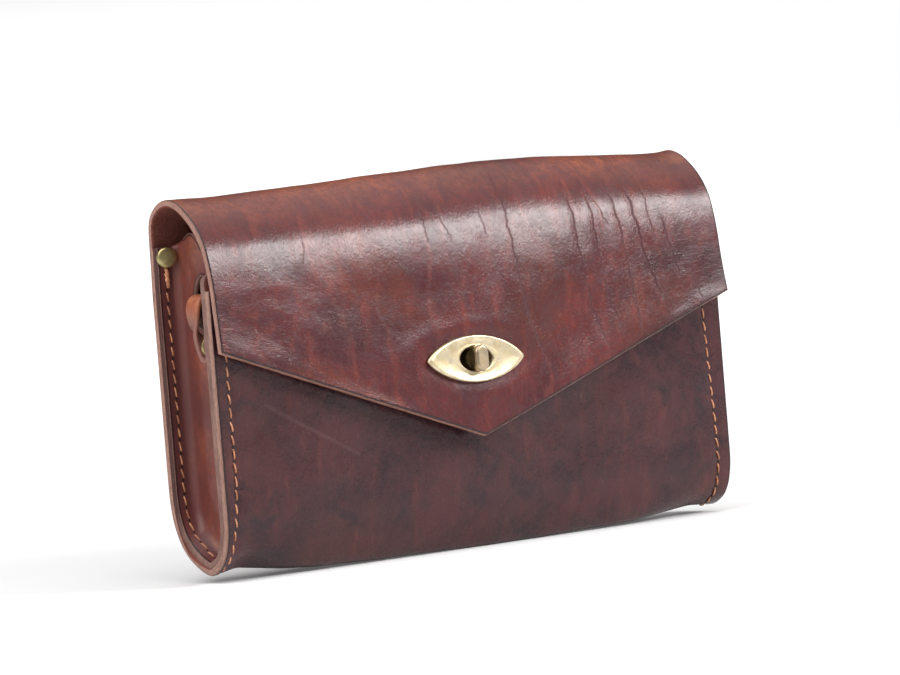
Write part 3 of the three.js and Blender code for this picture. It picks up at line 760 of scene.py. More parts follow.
def plain_material(name, color, roughness):
    shade = Shade(name)
    tint = shade.noise(shade.object_place(), 300.0, 3, 0.5)
    soft = shade.mix(shade.span(tint, 0.3, 0.7, 0.0, 0.2), color, tuple(c * 0.6 for c in color))
    return shade.finish(Base_Color=soft, Roughness=roughness)


grain = grain_leather("leather_grain_side", True)
grain_plain = grain_leather("leather_grain_end_pieces", False)
flesh = flesh_leather()
cut_edge = cut_leather("leather_cut_edge", (0.420, 0.200, 0.140), (0.250, 0.110, 0.078), True)
cut_gusset = cut_leather("leather_cut_edge_end_pieces", (0.290, 0.165, 0.135), (0.190, 0.105, 0.086), False)
tan_leather = strap_leather()
brass = aged_brass("brass_lock", (0.74, 0.63, 0.44), (0.48, 0.39, 0.23), 0.29)
knob_brass = aged_brass("brass_turn_knob", (0.52, 0.42, 0.30), (0.36, 0.28, 0.17), 0.26)
rivet_brass = aged_brass("brass_rivets", (0.44, 0.37, 0.18), (0.27, 0.21, 0.095), 0.34)
dark_brass = aged_brass("brass_in_shade", (0.22, 0.17, 0.09), (0.08, 0.06, 0.035), 0.4)
thread = thread_material()
hole_dark = plain_material("stitch_hole_shade", (0.012, 0.006, 0.005), 0.9)


# The sheet of leather
SHEET_STEP_ALONG = 1.36
SHEET_STEP_ROUND = 2.1
EDGE_ROUND = 0.85


def stitch_x(side, z):
    """Place along the bag of the stitch line at a height."""
    if side < 0:
        return -HALF_LENGTH + LEFT_STITCH_INSET - LEFT_STITCH_DRIFT * (1 - smooth(8, 45, z))
    return HALF_LENGTH - RIGHT_STITCH_INSET - RIGHT_STITCH_DRIFT * smooth(20, 92, z)


def sheet_relief(x, at, points):
    """Height of the outer face's dents and folds, outward in millimetres."""
    down = at - APEX_AT
    relief = 0.34 * soft_noise(x, at, 52, 3) + 0.08 * soft_noise(x, at, 17, 4)
    relief += crease_relief(x, down)
    ends = smooth(0, 16, HALF_LENGTH - np.abs(x))
    relief = relief * (0.25 + 0.75 * ends)
    for side in (-1, 1):
        line = np.exp(-(((x - stitch_x(side, points[:, :, 2])) / 1.5) ** 2))
        relief -= 0.28 * line * (at < BACK_TOP_AT) * (points[:, :, 2] < 130)
    lock = to_lock(points)
    oval = np.hypot(lock[:, :, 0] / (PLATE_LENGTH / 2), lock[:, :, 1] / (PLATE_HEIGHT / 2))
    facing = (down > 25) & (np.abs(lock[:, :, 2]) < 12)
    above = 0.35 + 0.65 * smooth(-4, 9, lock[:, :, 1])
    swell = np.exp(-(((oval - 1.45) / 0.3) ** 2)) * 0.30 * above - smooth(1.25, 0.9, oval) * 0.25
    relief = np.where(facing, relief * smooth(0.9, 1.9, oval) + swell, relief)
    fan = soft_noise(x + 0.12 * down, down * 0.12, 11.0, 8)
    creased = smooth(25, 60, x) * smooth(12, 28, down) * smooth(-130, -110, -x)
    relief += 0.09 * fan * creased
    return relief


def sheet_tones(x, at, z):
    """Warm and dark patches of the outer face, 0 to 1. The warm band along the roll is partly the leather's
    own orange tone and partly painted light from above; the dark band just below the flap's edge is painted
    shadow.
    """
    down = at - APEX_AT
    # Partly painted light: the warm band along the top of the roll, stronger toward its right end, is part
    # leather tone and part painted light from above.
    roll = np.exp(-(((down - 4) / 15.0) ** 2))
    warm = roll * (0.72 + 0.35 * soft_noise(x, at, 60, 21))
    warm += 0.25 * roll * np.exp(-(((x - 85) / 25) ** 2))
    warm += 0.18 * smooth(0.1, 0.9, soft_noise(x, at, 70, 22))
    dark = 0.35 * smooth(0.0, 1.0, soft_noise(x, at, 55, 31))
    dark += 0.45 * smooth(60, 120, x) * smooth(0.0, 0.8, soft_noise(x, at * 0.4, 26, 32)) * (down > 15)
    dark += 0.45 * smooth(55, 110, x) * smooth(45, 75, down)
    front = smooth(ROW_AT[13], ROW_AT[9], at)
    dark += front * (0.72 + 0.28 * smooth(-0.3, 0.8, soft_noise(x, at, 40, 33)))
    # Painted shadow: the front panel darkens just below the flap's edge, where the flap shades it.
    painted_shadow_under_flap = np.exp(-np.maximum(0, flap_edge_z(x) - z) / 9.0)
    dark += 0.5 * front * painted_shadow_under_flap
    return np.clip(warm, 0, 1), np.clip(dark, 0, 1)


def sheet_border(outer, grid_x, grid_at):
    """Distance from each point of the sheet to the nearest cut edge."""
    to_end = HALF_LENGTH - np.abs(grid_x)
    to_flap_edge = np.linalg.norm(outer - outer[:, -1:, :], axis=2)
    tilt = np.where(np.abs(grid_x - FLAP_TIP_X) > 0.1, 0.94, 0.9)
    return np.minimum(np.minimum(to_end, grid_at), to_flap_edge * tilt)


def sheet_sides(outer, border, grid_x, grid_at):
    """Points of the sheet's grain side and flesh side."""
    normal = grid_normals(outer)
    share = np.clip(border / EDGE_ROUND, 0, 1)
    profile = 0.55 + 0.45 * np.sqrt(np.maximum(0, 1 - (1 - share) ** 2))
    half = LEATHER / 2
    middle = outer - normal * half
    relief = sheet_relief(grid_x, grid_at, outer) * smooth(0, 5, border)
    top = middle + normal * (half * profile + relief)[:, :, None]
    sharp = 1 - 0.05 * (1 - share)
    under_profile = np.where(grid_at < BACK_TOP_AT, sharp, profile)
    under = middle - normal * (half * under_profile - 0.8 * relief)[:, :, None]
    top[:, :, 2] = np.maximum(top[:, :, 2], 0.0)
    return top.reshape(-1, 3), under.reshape(-1, 3)


def grid_rim(index):
    """Point numbers round a grid's border, and of the points next to them inside."""
    rim = np.concatenate([index[:, 0], index[-1, 1:], index[-2::-1, -1], index[0, -2:0:-1]])
    inside = np.concatenate([index[:, 1], index[-2, 1:], index[-2::-1, -2], index[1, -2:0:-1]])
    return rim, inside


def edge_line(outer, top, under, rim, inside):
    """Points along the middle of the cut edge, worn a little uneven."""
    line = (top[rim] + under[rim]) / 2
    inward = outer[inside] - outer[rim]
    inward /= np.maximum(1e-6, np.linalg.norm(inward, axis=1, keepdims=True))
    wobble = 0.12 * soft_noise(line[:, 0] + line[:, 2], line[:, 1], 6, 51)
    return line - inward * (0.16 + wobble[:, None])


def sheet_faces(index, rim, outer):
    """Faces of both sides, with the lock's hole, and of the cut edge, and the slot of each."""
    lock = to_lock(outer)
    oval = np.hypot(lock[:, 0] / (HOLE_LENGTH / 2 + COLLAR), lock[:, 1] / (HOLE_HEIGHT / 2 + COLLAR))
    in_hole = (oval < 1) & (np.abs(lock[:, 2]) < 6)
    corners = [index[:-1, :-1], index[:-1, 1:], index[1:, 1:], index[1:, :-1]]
    quads = np.stack(corners, axis=-1).reshape(-1, 4)
    quads = quads[~in_hole[quads].any(axis=1)]
    count = index.size
    faces = quads.tolist() + (quads[:, ::-1] + count).tolist()
    slots = [GRAIN_SIDE] * len(quads) + [FLESH_SIDE] * len(quads)
    rim = rim.tolist()
    for i, first in enumerate(rim):
        after = (i + 1) % len(rim)
        faces.append((first, rim[after], 2 * count + after, 2 * count + i))
        faces.append((2 * count + i, 2 * count + after, rim[after] + count, first + count))
        slots += [CUT_SIDE, CUT_SIDE]
    return faces, slots


def build_sheet():
    """Front panel, bottom, back panel, roll and flap in one sheet."""
    x = steps(-HALF_LENGTH, HALF_LENGTH, SHEET_STEP_ALONG)
    x[np.argmin(np.abs(x - FLAP_TIP_X))] = FLAP_TIP_X
    at = steps(0, SHEET_LENGTH, SHEET_STEP_ROUND)
    grid_x, grid_at = np.meshgrid(x, at, indexing="ij")
    grid = sheet_points(x, at)
    border = sheet_border(grid, grid_x, grid_at)
    top, under = sheet_sides(grid, border, grid_x, grid_at)
    outer = grid.reshape(-1, 3)
    index = np.arange(len(outer)).reshape(grid_x.shape)
    rim, inside = grid_rim(index)
    points = np.concatenate([top, under, edge_line(outer, top, under, rim, inside)])
    faces, slots = sheet_faces(index, rim, outer)
    obj = make_object("leather_sheet", points, faces, [grain, flesh, cut_edge], slots)

    sheet_uv = np.stack([grid_x.ravel(), (grid_at - APEX_AT).ravel()], axis=1)
    add_uv(obj, np.concatenate([sheet_uv, sheet_uv, sheet_uv[rim]]))
    warm, dark = sheet_tones(grid_x, grid_at, grid[:, :, 2])
    for name, values in (("border", np.minimum(border, 20)), ("warm", warm), ("dark", dark)):
        flat = values.ravel()
        add_attribute(obj, name, np.concatenate([flat, flat, flat[rim]]))
    return finish_piece(obj, "root", ["body_wrap"])


# The end pieces
SLOT_SIDES = 56


def gusset_loop(side, x, depth, at):
    """Row of points round the end piece at one depth below the sheet."""
    place = sheet_points([side * x], at)[0]
    normal = section_normals([side * x], at)[0]
    if depth > GUSSET:
        blur = 0.9 * depth
        weight = np.exp(-(((at[:, None] - at[None, :]) / blur) ** 2))
        normal = weight @ normal
        normal /= np.linalg.norm(normal, axis=1, keepdims=True)
    loop = place - normal * (LEATHER + SEAT_GAP + depth)
    above = np.clip(at - at[0], 0, FLANGE_CORNER)
    round_off = FLANGE_CORNER - np.sqrt(FLANGE_CORNER ** 2 - (FLANGE_CORNER - above) ** 2)
    share = np.clip((x - (HALF_LENGTH - RECESS + FOLD)) / (RECESS - FOLD), 0, 1)
    loop[:, 0] -= side * round_off * share * (at[0] < 0)
    fold_share = np.clip((depth - GUSSET) / (FOLD + 1), 0, 1)
    loop[:, 2] += CREST_LIFT * fold_share * smooth(BACK_TOP_AT - 9, BACK_TOP_AT, at)
    return loop


def gusset_section():
    """Section of the flange and its fold: place along the bag, depth and side of the next strip."""
    wall = HALF_LENGTH - RECESS
    turn = wall + FOLD
    deep = GUSSET + FOLD
    soft = 0.45
    rows = [(wall, deep + 1, GRAIN_SIDE)]
    for angle in np.radians(np.linspace(0, 90, 8)):
        rows.append((turn - FOLD * math.cos(angle), deep - FOLD * math.sin(angle), GRAIN_SIDE))
    for share in (0.3, 0.6, 0.85):
        rows.append((turn + (RECESS - FOLD) * share, GUSSET, GRAIN_SIDE))
    rows += [
        (HALF_LENGTH - soft, GUSSET, GRAIN_SIDE), (HALF_LENGTH - 0.12, GUSSET - 0.12, CUT_SIDE),
        (HALF_LENGTH, GUSSET - soft, CUT_SIDE), (HALF_LENGTH, GUSSET / 2, CUT_SIDE),
        (HALF_LENGTH, 0.1, CUT_SIDE), (HALF_LENGTH - 0.08, -0.03, CUT_SIDE),
        (HALF_LENGTH - soft, -0.05, FLESH_SIDE),
    ]
    for angle in np.radians(np.linspace(0, 90, 7)):
        rows.append((turn - deep * math.sin(angle), deep - deep * math.cos(angle), FLESH_SIDE))
    rows.append((wall - GUSSET, deep + 1, FLESH_SIDE))
    return rows


def nearest(points, line):
    """Distance from each point to the nearest point of a line."""
    gaps = points[:, None, :] - line[None, :, :]
    return np.sqrt((gaps ** 2).sum(axis=2)).min(axis=1)


def wall_relief(y, z):
    """How far the end wall bulges outward."""
    middle = np.exp(-((y / 9.0) ** 2))
    swell = 1.3 * middle * np.exp(-(((z - 62) / 45.0) ** 2))
    top = 1.2 * middle * smooth(125, 143, z)
    dent = -0.9 * np.exp(-(((y - 6) / 3.0) ** 2) - ((z - 124) / 6.0) ** 2)
    return swell + top + dent + 0.35 * soft_noise(y, z, 14, 61)


def crest_line(begin, end):
    """Curved top edge of the wall between the two flanges."""
    share = np.linspace(0, 1, 28)[1:-1]
    y = begin[1] + (end[1] - begin[1]) * share
    z = begin[2] + (end[2] - begin[2]) * share ** 3 + CREST * np.sin(math.pi * share)
    return np.stack([np.full(len(share), begin[0]), y, z], axis=1)


def slot_line(x):
    """Oval rim of the slot."""
    angle = np.arange(SLOT_SIDES) / SLOT_SIDES * math.tau
    y = SLOT_Y + SLOT_WIDTH / 2 * np.cos(angle)
    z = SLOT_Z + SLOT_HEIGHT / 2 * np.sin(angle)
    return np.stack([np.full(len(angle), x), y, z], axis=1)


def in_slot(y, z):
    """Whether a place of the wall is inside the slot."""
    return ((y - SLOT_Y) / (SLOT_WIDTH / 2)) ** 2 + ((z - SLOT_Z) / (SLOT_HEIGHT / 2)) ** 2 < 0.99


def fill_wall(points, ring, hole, x):
    """New points and triangles of one face of the wall, between its border and its slot."""
    known = ring + hole
    border = np.array([points[i][1:] for i in known])
    inner = []
    for y in np.arange(-14, 14.1, 1.35):
        for z in np.arange(8, 148, 1.5):
            place = np.array([y + 0.15 * math.sin(3 * z), z + 0.15 * math.sin(5 * y)])
            if np.abs(border - place).max(axis=1).min() > 0.6:
                inner.append(Vector(place))
    coords = [Vector(place) for place in border] + inner
    rim = len(ring)
    pairs = [(i, (i + 1) % rim) for i in range(rim)]
    pairs += [(rim + i, rim + (i + 1) % len(hole)) for i in range(len(hole))]
    made, _, triangles, origins, _, _ = delaunay_2d_cdt(coords, pairs, [], 1, 1e-5)
    numbers = []
    for place, sources in zip(made, origins):
        kept = [source for source in sources if source < len(known)]
        numbers.append(known[kept[0]] if kept else len(points))
        if not kept:
            points.append(np.array([x, place[0], place[1]]))
    faces = []
    for triangle in triangles:
        centre = sum((made[i] for i in triangle), Vector((0, 0))) / len(triangle)
        if not in_slot(centre[0], centre[1]):
            faces.append([numbers[i] for i in triangle])
    return faces


def build_gusset(side):
    """Recessed end wall, its turned flange and its slot."""
    name = "left" if side < 0 else "right"
    at = np.concatenate([np.linspace(-FRONT_FLANGE_RISE, 0, 9)[:-1], np.linspace(0, BACK_TOP_AT, 150)])
    section = gusset_section()
    loops = [gusset_loop(side, x, depth, at) for x, depth, _ in section]
    count = len(at)
    points = [place for loop in loops for place in loop]
    faces = []
    slots = []

    def add(new_faces, slot, turned):
        faces.extend([list(face)[::-1] for face in new_faces] if turned else new_faces)
        slots.extend([slot] * len(new_faces))

    for k in range(len(section) - 1):
        add(ring_faces(k * count, (k + 1) * count, count, closed=False), section[k][2], side > 0)
    for j, turned in ((0, side > 0), (count - 1, side < 0)):
        add([[k * count + j for k in range(len(section))]], CUT_SIDE, turned)

    rims = []
    for k, slot in ((0, GRAIN_SIDE), (len(section) - 1, FLESH_SIDE)):
        x = side * section[k][0]
        crest = crest_line(loops[k][-1], loops[k][0])
        ring = list(range(k * count, (k + 1) * count)) + list(range(len(points), len(points) + len(crest)))
        points.extend(crest)
        hole = list(range(len(points), len(points) + SLOT_SIDES))
        points.extend(slot_line(x))
        add(fill_wall(points, ring, hole, x), slot, (slot == GRAIN_SIDE) == (side < 0))
        rims.append((ring, hole))
    (ring, hole), (under_ring, under_hole) = rims
    for i in range(count - 1, len(ring)):
        after = (i + 1) % len(ring)
        add([[ring[i], ring[after], under_ring[after], under_ring[i]]], CUT_SIDE, side > 0)
    for i in range(len(hole)):
        after = (i + 1) % len(hole)
        add([[hole[i], under_hole[i], under_hole[after], hole[after]]], CUT_SIDE, side > 0)

    places = np.array(points)
    flat = places[:, 1:]
    border_line = loops[0][:, 1:]
    crest_places = places[ring[count:]][:, 1:]
    slot_places = places[hole][:, 1:]
    on_wall = np.abs(places[:, 0]) < HALF_LENGTH - RECESS + 0.01
    from_fold = nearest(flat, border_line)
    push = wall_relief(flat[:, 0], flat[:, 1]) * smooth(0, 6, from_fold) * on_wall
    places[:, 0] += side * push
    border = np.where(on_wall, np.minimum(nearest(flat, crest_places), nearest(flat, slot_places)), 3.0)
    border = np.minimum(border, np.where(on_wall, 20, HALF_LENGTH - np.abs(places[:, 0])))
    obj = make_object(f"leather_gusset_{name}", places, faces, [grain_plain, flesh, cut_gusset], slots)
    add_attribute(obj, "border", border)
    warm = 0.35 + 0.6 * smooth(126, 141, flat[:, 1]) + 0.4 * soft_noise(flat[:, 0], flat[:, 1], 30, 63)
    back = smooth(8, 13, flat[:, 0]) * smooth(20, 35, flat[:, 1])
    dark = 0.35 * smooth(0.2, 1.0, soft_noise(flat[:, 0], flat[:, 1], 30, 64)) + 0.75 * back
    in_shade = np.abs(places[:, 0]) < HALF_LENGTH - RECESS + 2.5
    add_attribute(obj, "warm", np.clip(warm, 0, 1) * in_shade)
    add_attribute(obj, "dark", np.clip(dark * np.where(in_shade, 0.4, 1.0), 0, 1))
    return finish_piece(obj, "root", [f"gusset_{name}"])


# Straps: share of the recess outward, of the bow, and of the way from rivet to slot, then the
# direction of the width and the share of the width
STRAP_PATH = np.array([
    [-0.895, 0.76, 1.066, 0, 1, 0, 0.86], [-0.379, 0.76, 1.088, 0, 1, 0, 0.86],
    [0.063, 0.76, 1.105, 0, 1, 0, 0.86], [0.358, 0.76, 1.088, 0, 1, 0, 0.86],
    [0.547, 0.76, 1, 0, 1, 0, 0.86], [0.642, 0.76, 0.845, 0, 1, 0, 0.86],
    [0.684, 0.736, 0.635, -0.15, 0.98, 0, 0.86], [0.695, 0.682, 0.436, -0.4, 0.9, 0, 0.86],
    [0.663, 0.589, 0.249, -0.75, 0.65, 0, 0.84], [0.611, 0.473, 0.061, -0.95, 0.3, 0, 0.8],
    [0.558, 0.372, -0.127, -1, 0.1, 0, 0.78], [0.516, 0.287, -0.26, -1, 0, 0, 0.76],
    [0.516, 0.186, -0.315, -1, 0, 0, 0.74], [0.516, 0.07, -0.315, -1, 0, 0, 0.74],
    [0.516, 0, -0.249, -1, 0, 0, 0.74], [0.516, 0, -0.105, -1, 0, 0, 0.74],
    [0.516, 0, 0.094, -1, 0, 0, 0.74], [0.516, 0, 0.249, -1, 0, 0, 0.7], [0.516, 0, 0.315, -1, 0, 0, 0.4],
])


def flange_y(side, z, back):
    """Inner face of the flange at a height."""
    at = np.linspace(BACK_TOP_AT, ROW_AT[9], 400) if back else np.linspace(0, ROW_AT[9], 400)
    loop = gusset_loop(side, HALF_LENGTH - RIVET_INSET, GUSSET, at)
    return float(loop[np.argmin(np.abs(loop[:, 2] - z)), 1])


def build_strap(side):
    """Strap bent out of the slot, down past its rivet and back up under the rivet's cap."""
    name = "left" if side < 0 else "right"
    seat = flange_y(side, STRAP_RIVET_Z, False)
    wall = HALF_LENGTH - RECESS
    knots = np.arange(len(STRAP_PATH), dtype=float)
    rows = hermite(np.linspace(0, knots[-1], 150), knots, STRAP_PATH)
    centre = np.stack([
        side * (wall + rows[:, 0] * RECESS),
        seat + SEAT_GAP + STRAP_THICKNESS / 2 + rows[:, 1] * STRAP_BOW,
        STRAP_RIVET_Z + rows[:, 2] * (SLOT_Z - STRAP_RIVET_Z),
    ], axis=1)
    heading = np.gradient(centre, axis=0)
    heading /= np.linalg.norm(heading, axis=1, keepdims=True)
    width = rows[:, 3:6] * [side, 1, 1]
    width -= heading * (width * heading).sum(axis=1, keepdims=True)
    width /= np.linalg.norm(width, axis=1, keepdims=True)
    across = np.cross(heading, width)
    ring = []
    for w, n in ((-1, 0.5), (-0.93, 0.9), (-0.8, 1), (-0.3, 1), (0.3, 1), (0.8, 1), (0.93, 0.9), (1, 0.5)):
        ring.append((w, n))
    ring += [(w, -n) for w, n in ring[::-1]]
    points = []
    for i in range(len(rows)):
        half_width = STRAP_WIDTH / 2 * rows[i, 6]
        for w, n in ring:
            points.append(centre[i] + width[i] * half_width * w + across[i] * STRAP_THICKNESS / 2 * n)
    count = len(ring)
    faces = []
    for i in range(len(rows) - 1):
        faces += ring_faces(i * count, (i + 1) * count, count)
    faces.append(tuple(range(count))[::-1])
    faces.append(tuple(range((len(rows) - 1) * count, len(rows) * count)))
    faces = [face[::-1] for face in faces]
    obj = make_object(f"leather_strap_{name}", points, faces, [tan_leather])
    return finish_piece(obj, "root", [f"side_strap_{name}"])


# Metal pieces

def lathe(name, rows, origin, direction, material, sides=56):
    """Turned piece along Y: rows of radius and distance."""
    points = []
    for radius, distance in rows:
        for i in range(sides):
            angle = i / sides * math.tau
            points.append((
                origin[0] + radius * math.cos(angle), origin[1] + direction * distance,
                origin[2] + radius * math.sin(angle)))
    faces = []
    for k in range(len(rows) - 1):
        faces += ring_faces(k * sides, (k + 1) * sides, sides)
    faces.append(tuple(range(sides))[::-1])
    faces.append(tuple(range((len(rows) - 1) * sides, len(rows) * sides)))
    if direction < 0:
        faces = [f[::-1] for f in faces]
    return make_object(name, points, faces, [material])


# Section of a rivet's cap: share of the radius and of the height
CAP = [
    (1, 0), (1, 0.32), (0.985, 0.5), (0.95, 0.67), (0.89, 0.8), (0.8, 0.89), (0.66, 0.945), (0.4, 0.985),
    (0.04, 1),
]
CAP_TILT = math.radians(20)
BACK_RIVET_SHIFT = 0.7
CAP_LIFT = 0.6


def build_rivet(name, node, origin, direction, grip, end_cap, tilt):
    """Capped rivet along Y, its cap tilted where the leather pushes it."""
    radius = RIVET_DIAMETER / 2
    rows = [(r * radius, h * RIVET_HEIGHT) for r, h in CAP[::-1]]
    rows += [(radius * 0.97, -0.12), (1.6, -0.15), (1.6, -grip)]
    if end_cap:
        outer = OUTER_CAP_DIAMETER / 2
        rows += [(r * outer, -grip - h * OUTER_CAP_HEIGHT) for r, h in CAP]
    obj = lathe(name, rows, origin, direction, rivet_brass)
    turn = Matrix.Rotation(tilt, 3, "Z")
    middle = Vector(origin) * METRE
    for vertex in obj.data.vertices:
        beyond = (vertex.co[1] - middle[1]) * direction
        if beyond > -0.14 * METRE:
            vertex.co = middle + turn @ (vertex.co - middle)
        if beyond < (0.5 - grip) * METRE:
            vertex.co[0] -= math.copysign(OUTER_CAP_SHIFT, origin[0]) * METRE
    return finish_piece(obj, "root", [node])


# Face of the lock's plate: share of the way from the hole to the rim, and of the height
PLATE_FACE = [
    (1, 0.42), (0.993, 0.6), (0.975, 0.78), (0.945, 0.91), (0.905, 0.985), (0.86, 1), (0.8, 0.985),
    (0.7, 0.94), (0.56, 0.87), (0.4, 0.81), (0.25, 0.77), (0.13, 0.78), (0.07, 0.80), (0.03, 0.77), (0, 0.66),
]


def build_plate():
    """Pointed-oval plate with its collar."""
    back = -LEATHER - SEAT_GAP
    rows = [(1, 0, SEAT_GAP)]
    rows += [(share, 0, PLATE_RISE * height) for share, height in PLATE_FACE]
    lip = COLLAR + COLLAR_LIP
    rows += [
        (0, 0, back - 1), (0, lip, back - 1), (0, lip, back - 0.05), (0, COLLAR, back - 0.05),
        (0, COLLAR, SEAT_GAP),
    ]
    sides = 160
    angle = np.arange(sides) / sides * math.tau
    cosine, sine = np.cos(angle), np.sin(angle)
    points = []
    for share, offset, height in rows:
        hole = np.stack([cosine * (HOLE_LENGTH / 2 + offset), sine * (HOLE_HEIGHT / 2 + offset)], axis=1)
        edge = np.stack([
            cosine * PLATE_LENGTH / 2, np.sign(sine) * np.abs(sine) ** 1.5 * PLATE_HEIGHT / 2], axis=1)
        flat = hole + (edge - hole) * share
        points.append(np.concatenate([flat, np.full((sides, 1), height)], axis=1))
    faces = []
    for k in range(len(rows)):
        faces += ring_faces(k * sides, (k + 1) % len(rows) * sides, sides)
    obj = make_object("brass_lock_plate", from_lock(np.concatenate(points)), faces, [brass])
    return finish_piece(obj, "root", ["lock_plate"])


def build_knob():
    """Turning bar with a softly rounded rim and its neck."""
    sides = 96
    straight = (KNOB_LENGTH - KNOB_WIDTH) / 2
    rows = [
        (1.0, KNOB_BASE, 0.5), (0, KNOB_BASE, 0.35), (0, KNOB_BASE + 0.5, 0), (0, KNOB_TOP - 1.3, 0),
        (0, KNOB_TOP - 0.8, 0.1), (0, KNOB_TOP - 0.42, 0.3), (0, KNOB_TOP - 0.14, 0.62), (0, KNOB_TOP, 1.0),
        (0, KNOB_TOP - 0.03, 1.5), (0, KNOB_TOP - 0.03, 3.2),
    ]
    points = []
    angle = np.arange(sides) / sides * math.tau
    for _, height, inset in rows[1:]:
        radius = KNOB_WIDTH / 2 - inset
        y = np.sin(angle) * max(radius, 0.05) + np.sign(np.sin(angle)) * straight
        x = np.cos(angle) * max(radius, 0.05)
        points.append(np.stack([x, y, np.full(sides, height)], axis=1))
    levels = len(points)
    faces = []
    for k in range(levels - 1):
        faces += ring_faces(k * sides, (k + 1) * sides, sides)
    faces.append(tuple(range((levels - 1) * sides, levels * sides)))
    faces.append(tuple(range(sides))[::-1])
    start = levels * sides
    neck_sides = 40
    neck = [
        (NECK_RADIUS, -1.8), (NECK_RADIUS, 0.9), (NECK_FLANGE_RADIUS, 0.95),
        (NECK_FLANGE_RADIUS, KNOB_BASE + 0.1),
    ]
    for radius, height in neck:
        turn = np.arange(neck_sides) / neck_sides * math.tau
        points.append(np.stack(
            [np.cos(turn) * radius, np.sin(turn) * radius, np.full(neck_sides, height)], axis=1))
    for k in range(3):
        faces += ring_faces(start + k * neck_sides, start + (k + 1) * neck_sides, neck_sides)
    obj = make_object("brass_turn_knob", from_lock(np.concatenate(points)), faces, [knob_brass])
    return finish_piece(obj, "knob", ["turn_knob"])


# Stitches

def stitch_mesh(name, places, tangents, normals, length, radius, pitch_lift):
    """One rounded thread for each place, laid along its tangent."""
    sides = 8
    half = [(0.15, 1.0), (0.36, 0.92), (0.46, 0.62), (0.5, 0.25)]
    rings = [(-share, fat) for share, fat in half[::-1]] + half
    points = []
    faces = []
    rng = np.random.default_rng(77)
    for place, tangent, normal in zip(places, tangents, normals):
        sideways = np.cross(normal, tangent)
        slant = math.radians(rng.normal(11, 3))
        run = tangent * math.cos(slant) + sideways * math.sin(slant)
        cross = np.cross(normal, run)
        stretch = length * rng.uniform(0.93, 1.05)
        base = len(points)
        for share, fat in rings:
            dip = 0.55 * (abs(share) * 2) ** 3
            middle = place + run * stretch * share + normal * (pitch_lift - dip)
            for i in range(sides):
                angle = i / sides * math.tau
                aside = cross * radius * fat * math.cos(angle)
                points.append(middle + aside + normal * radius * 0.85 * fat * math.sin(angle))
        for k in range(len(rings) - 1):
            faces += ring_faces(base + k * sides, base + (k + 1) * sides, sides)
        faces.append(tuple(range(base, base + sides))[::-1])
        end = base + (len(rings) - 1) * sides
        faces.append(tuple(range(end, end + sides)))
    return make_object(name, points, faces, [thread])


def hole_mesh(name, places, tangents, normals, radius):
    """Dark dimple at each place where the thread goes into the leather."""
    sides = 10
    points = []
    faces = []
    for place, tangent, normal in zip(places, tangents, normals):
        cross = np.cross(normal, tangent)
        base = len(points)
        for size, lift in ((1.0, 0.01), (0.6, 0.06), (0.15, 0.07)):
            for i in range(sides):
                angle = i / sides * math.tau
                flat = cross * math.cos(angle) * radius * 0.75 - tangent * math.sin(angle) * radius
                points.append(place + flat * size + normal * lift)
        faces += ring_faces(base, base + sides, sides)
        faces += ring_faces(base + sides, base + 2 * sides, sides)
        faces.append(tuple(range(base + 2 * sides, base + 3 * sides)))
    return make_object(name, points, faces, [hole_dark])


def walk(curve, pitch, offset):
    """Places, tangents and their shares of the way along a curve at an even pitch."""
    lengths = np.concatenate([[0], np.cumsum(np.linalg.norm(np.diff(curve, axis=0), axis=1))])
    at = np.arange(offset, lengths[-1], pitch)
    places = np.stack([np.interp(at, lengths, curve[:, i]) for i in range(3)], axis=1)
    ahead = np.stack([np.interp(at + 0.5, lengths, curve[:, i]) for i in range(3)], axis=1)
    tangents = ahead - places
    tangents /= np.maximum(1e-6, np.linalg.norm(tangents, axis=1, keepdims=True))
    return places, tangents, at / lengths[-1]


def read_along(directions, shares):
    """Unit directions read at shares of the way along a list of them."""
    known = np.linspace(0, 1, len(directions))
    own = np.stack([np.interp(shares, known, directions[:, i]) for i in range(3)], axis=1)
    return own / np.linalg.norm(own, axis=1, keepdims=True)


def stitch_row(label, curve, normals, sink, hole_sink, lift):
    """Threads along a curve and a hole between each two of them."""
    places, tangents, shares = walk(curve, STITCH_PITCH, STITCH_PITCH / 2)
    own = read_along(normals, shares)
    threads = stitch_mesh(
        f"stitches_{label}", places - own * sink, tangents, own, STITCH_LENGTH, THREAD_RADIUS, lift)
    places, tangents, shares = walk(curve, STITCH_PITCH, 0.0)
    own = read_along(normals, shares)
    holes = hole_mesh(
        f"stitch_holes_{label}", places - own * hole_sink, tangents, own, STITCH_HOLE_RADIUS)
    return [threads, holes]


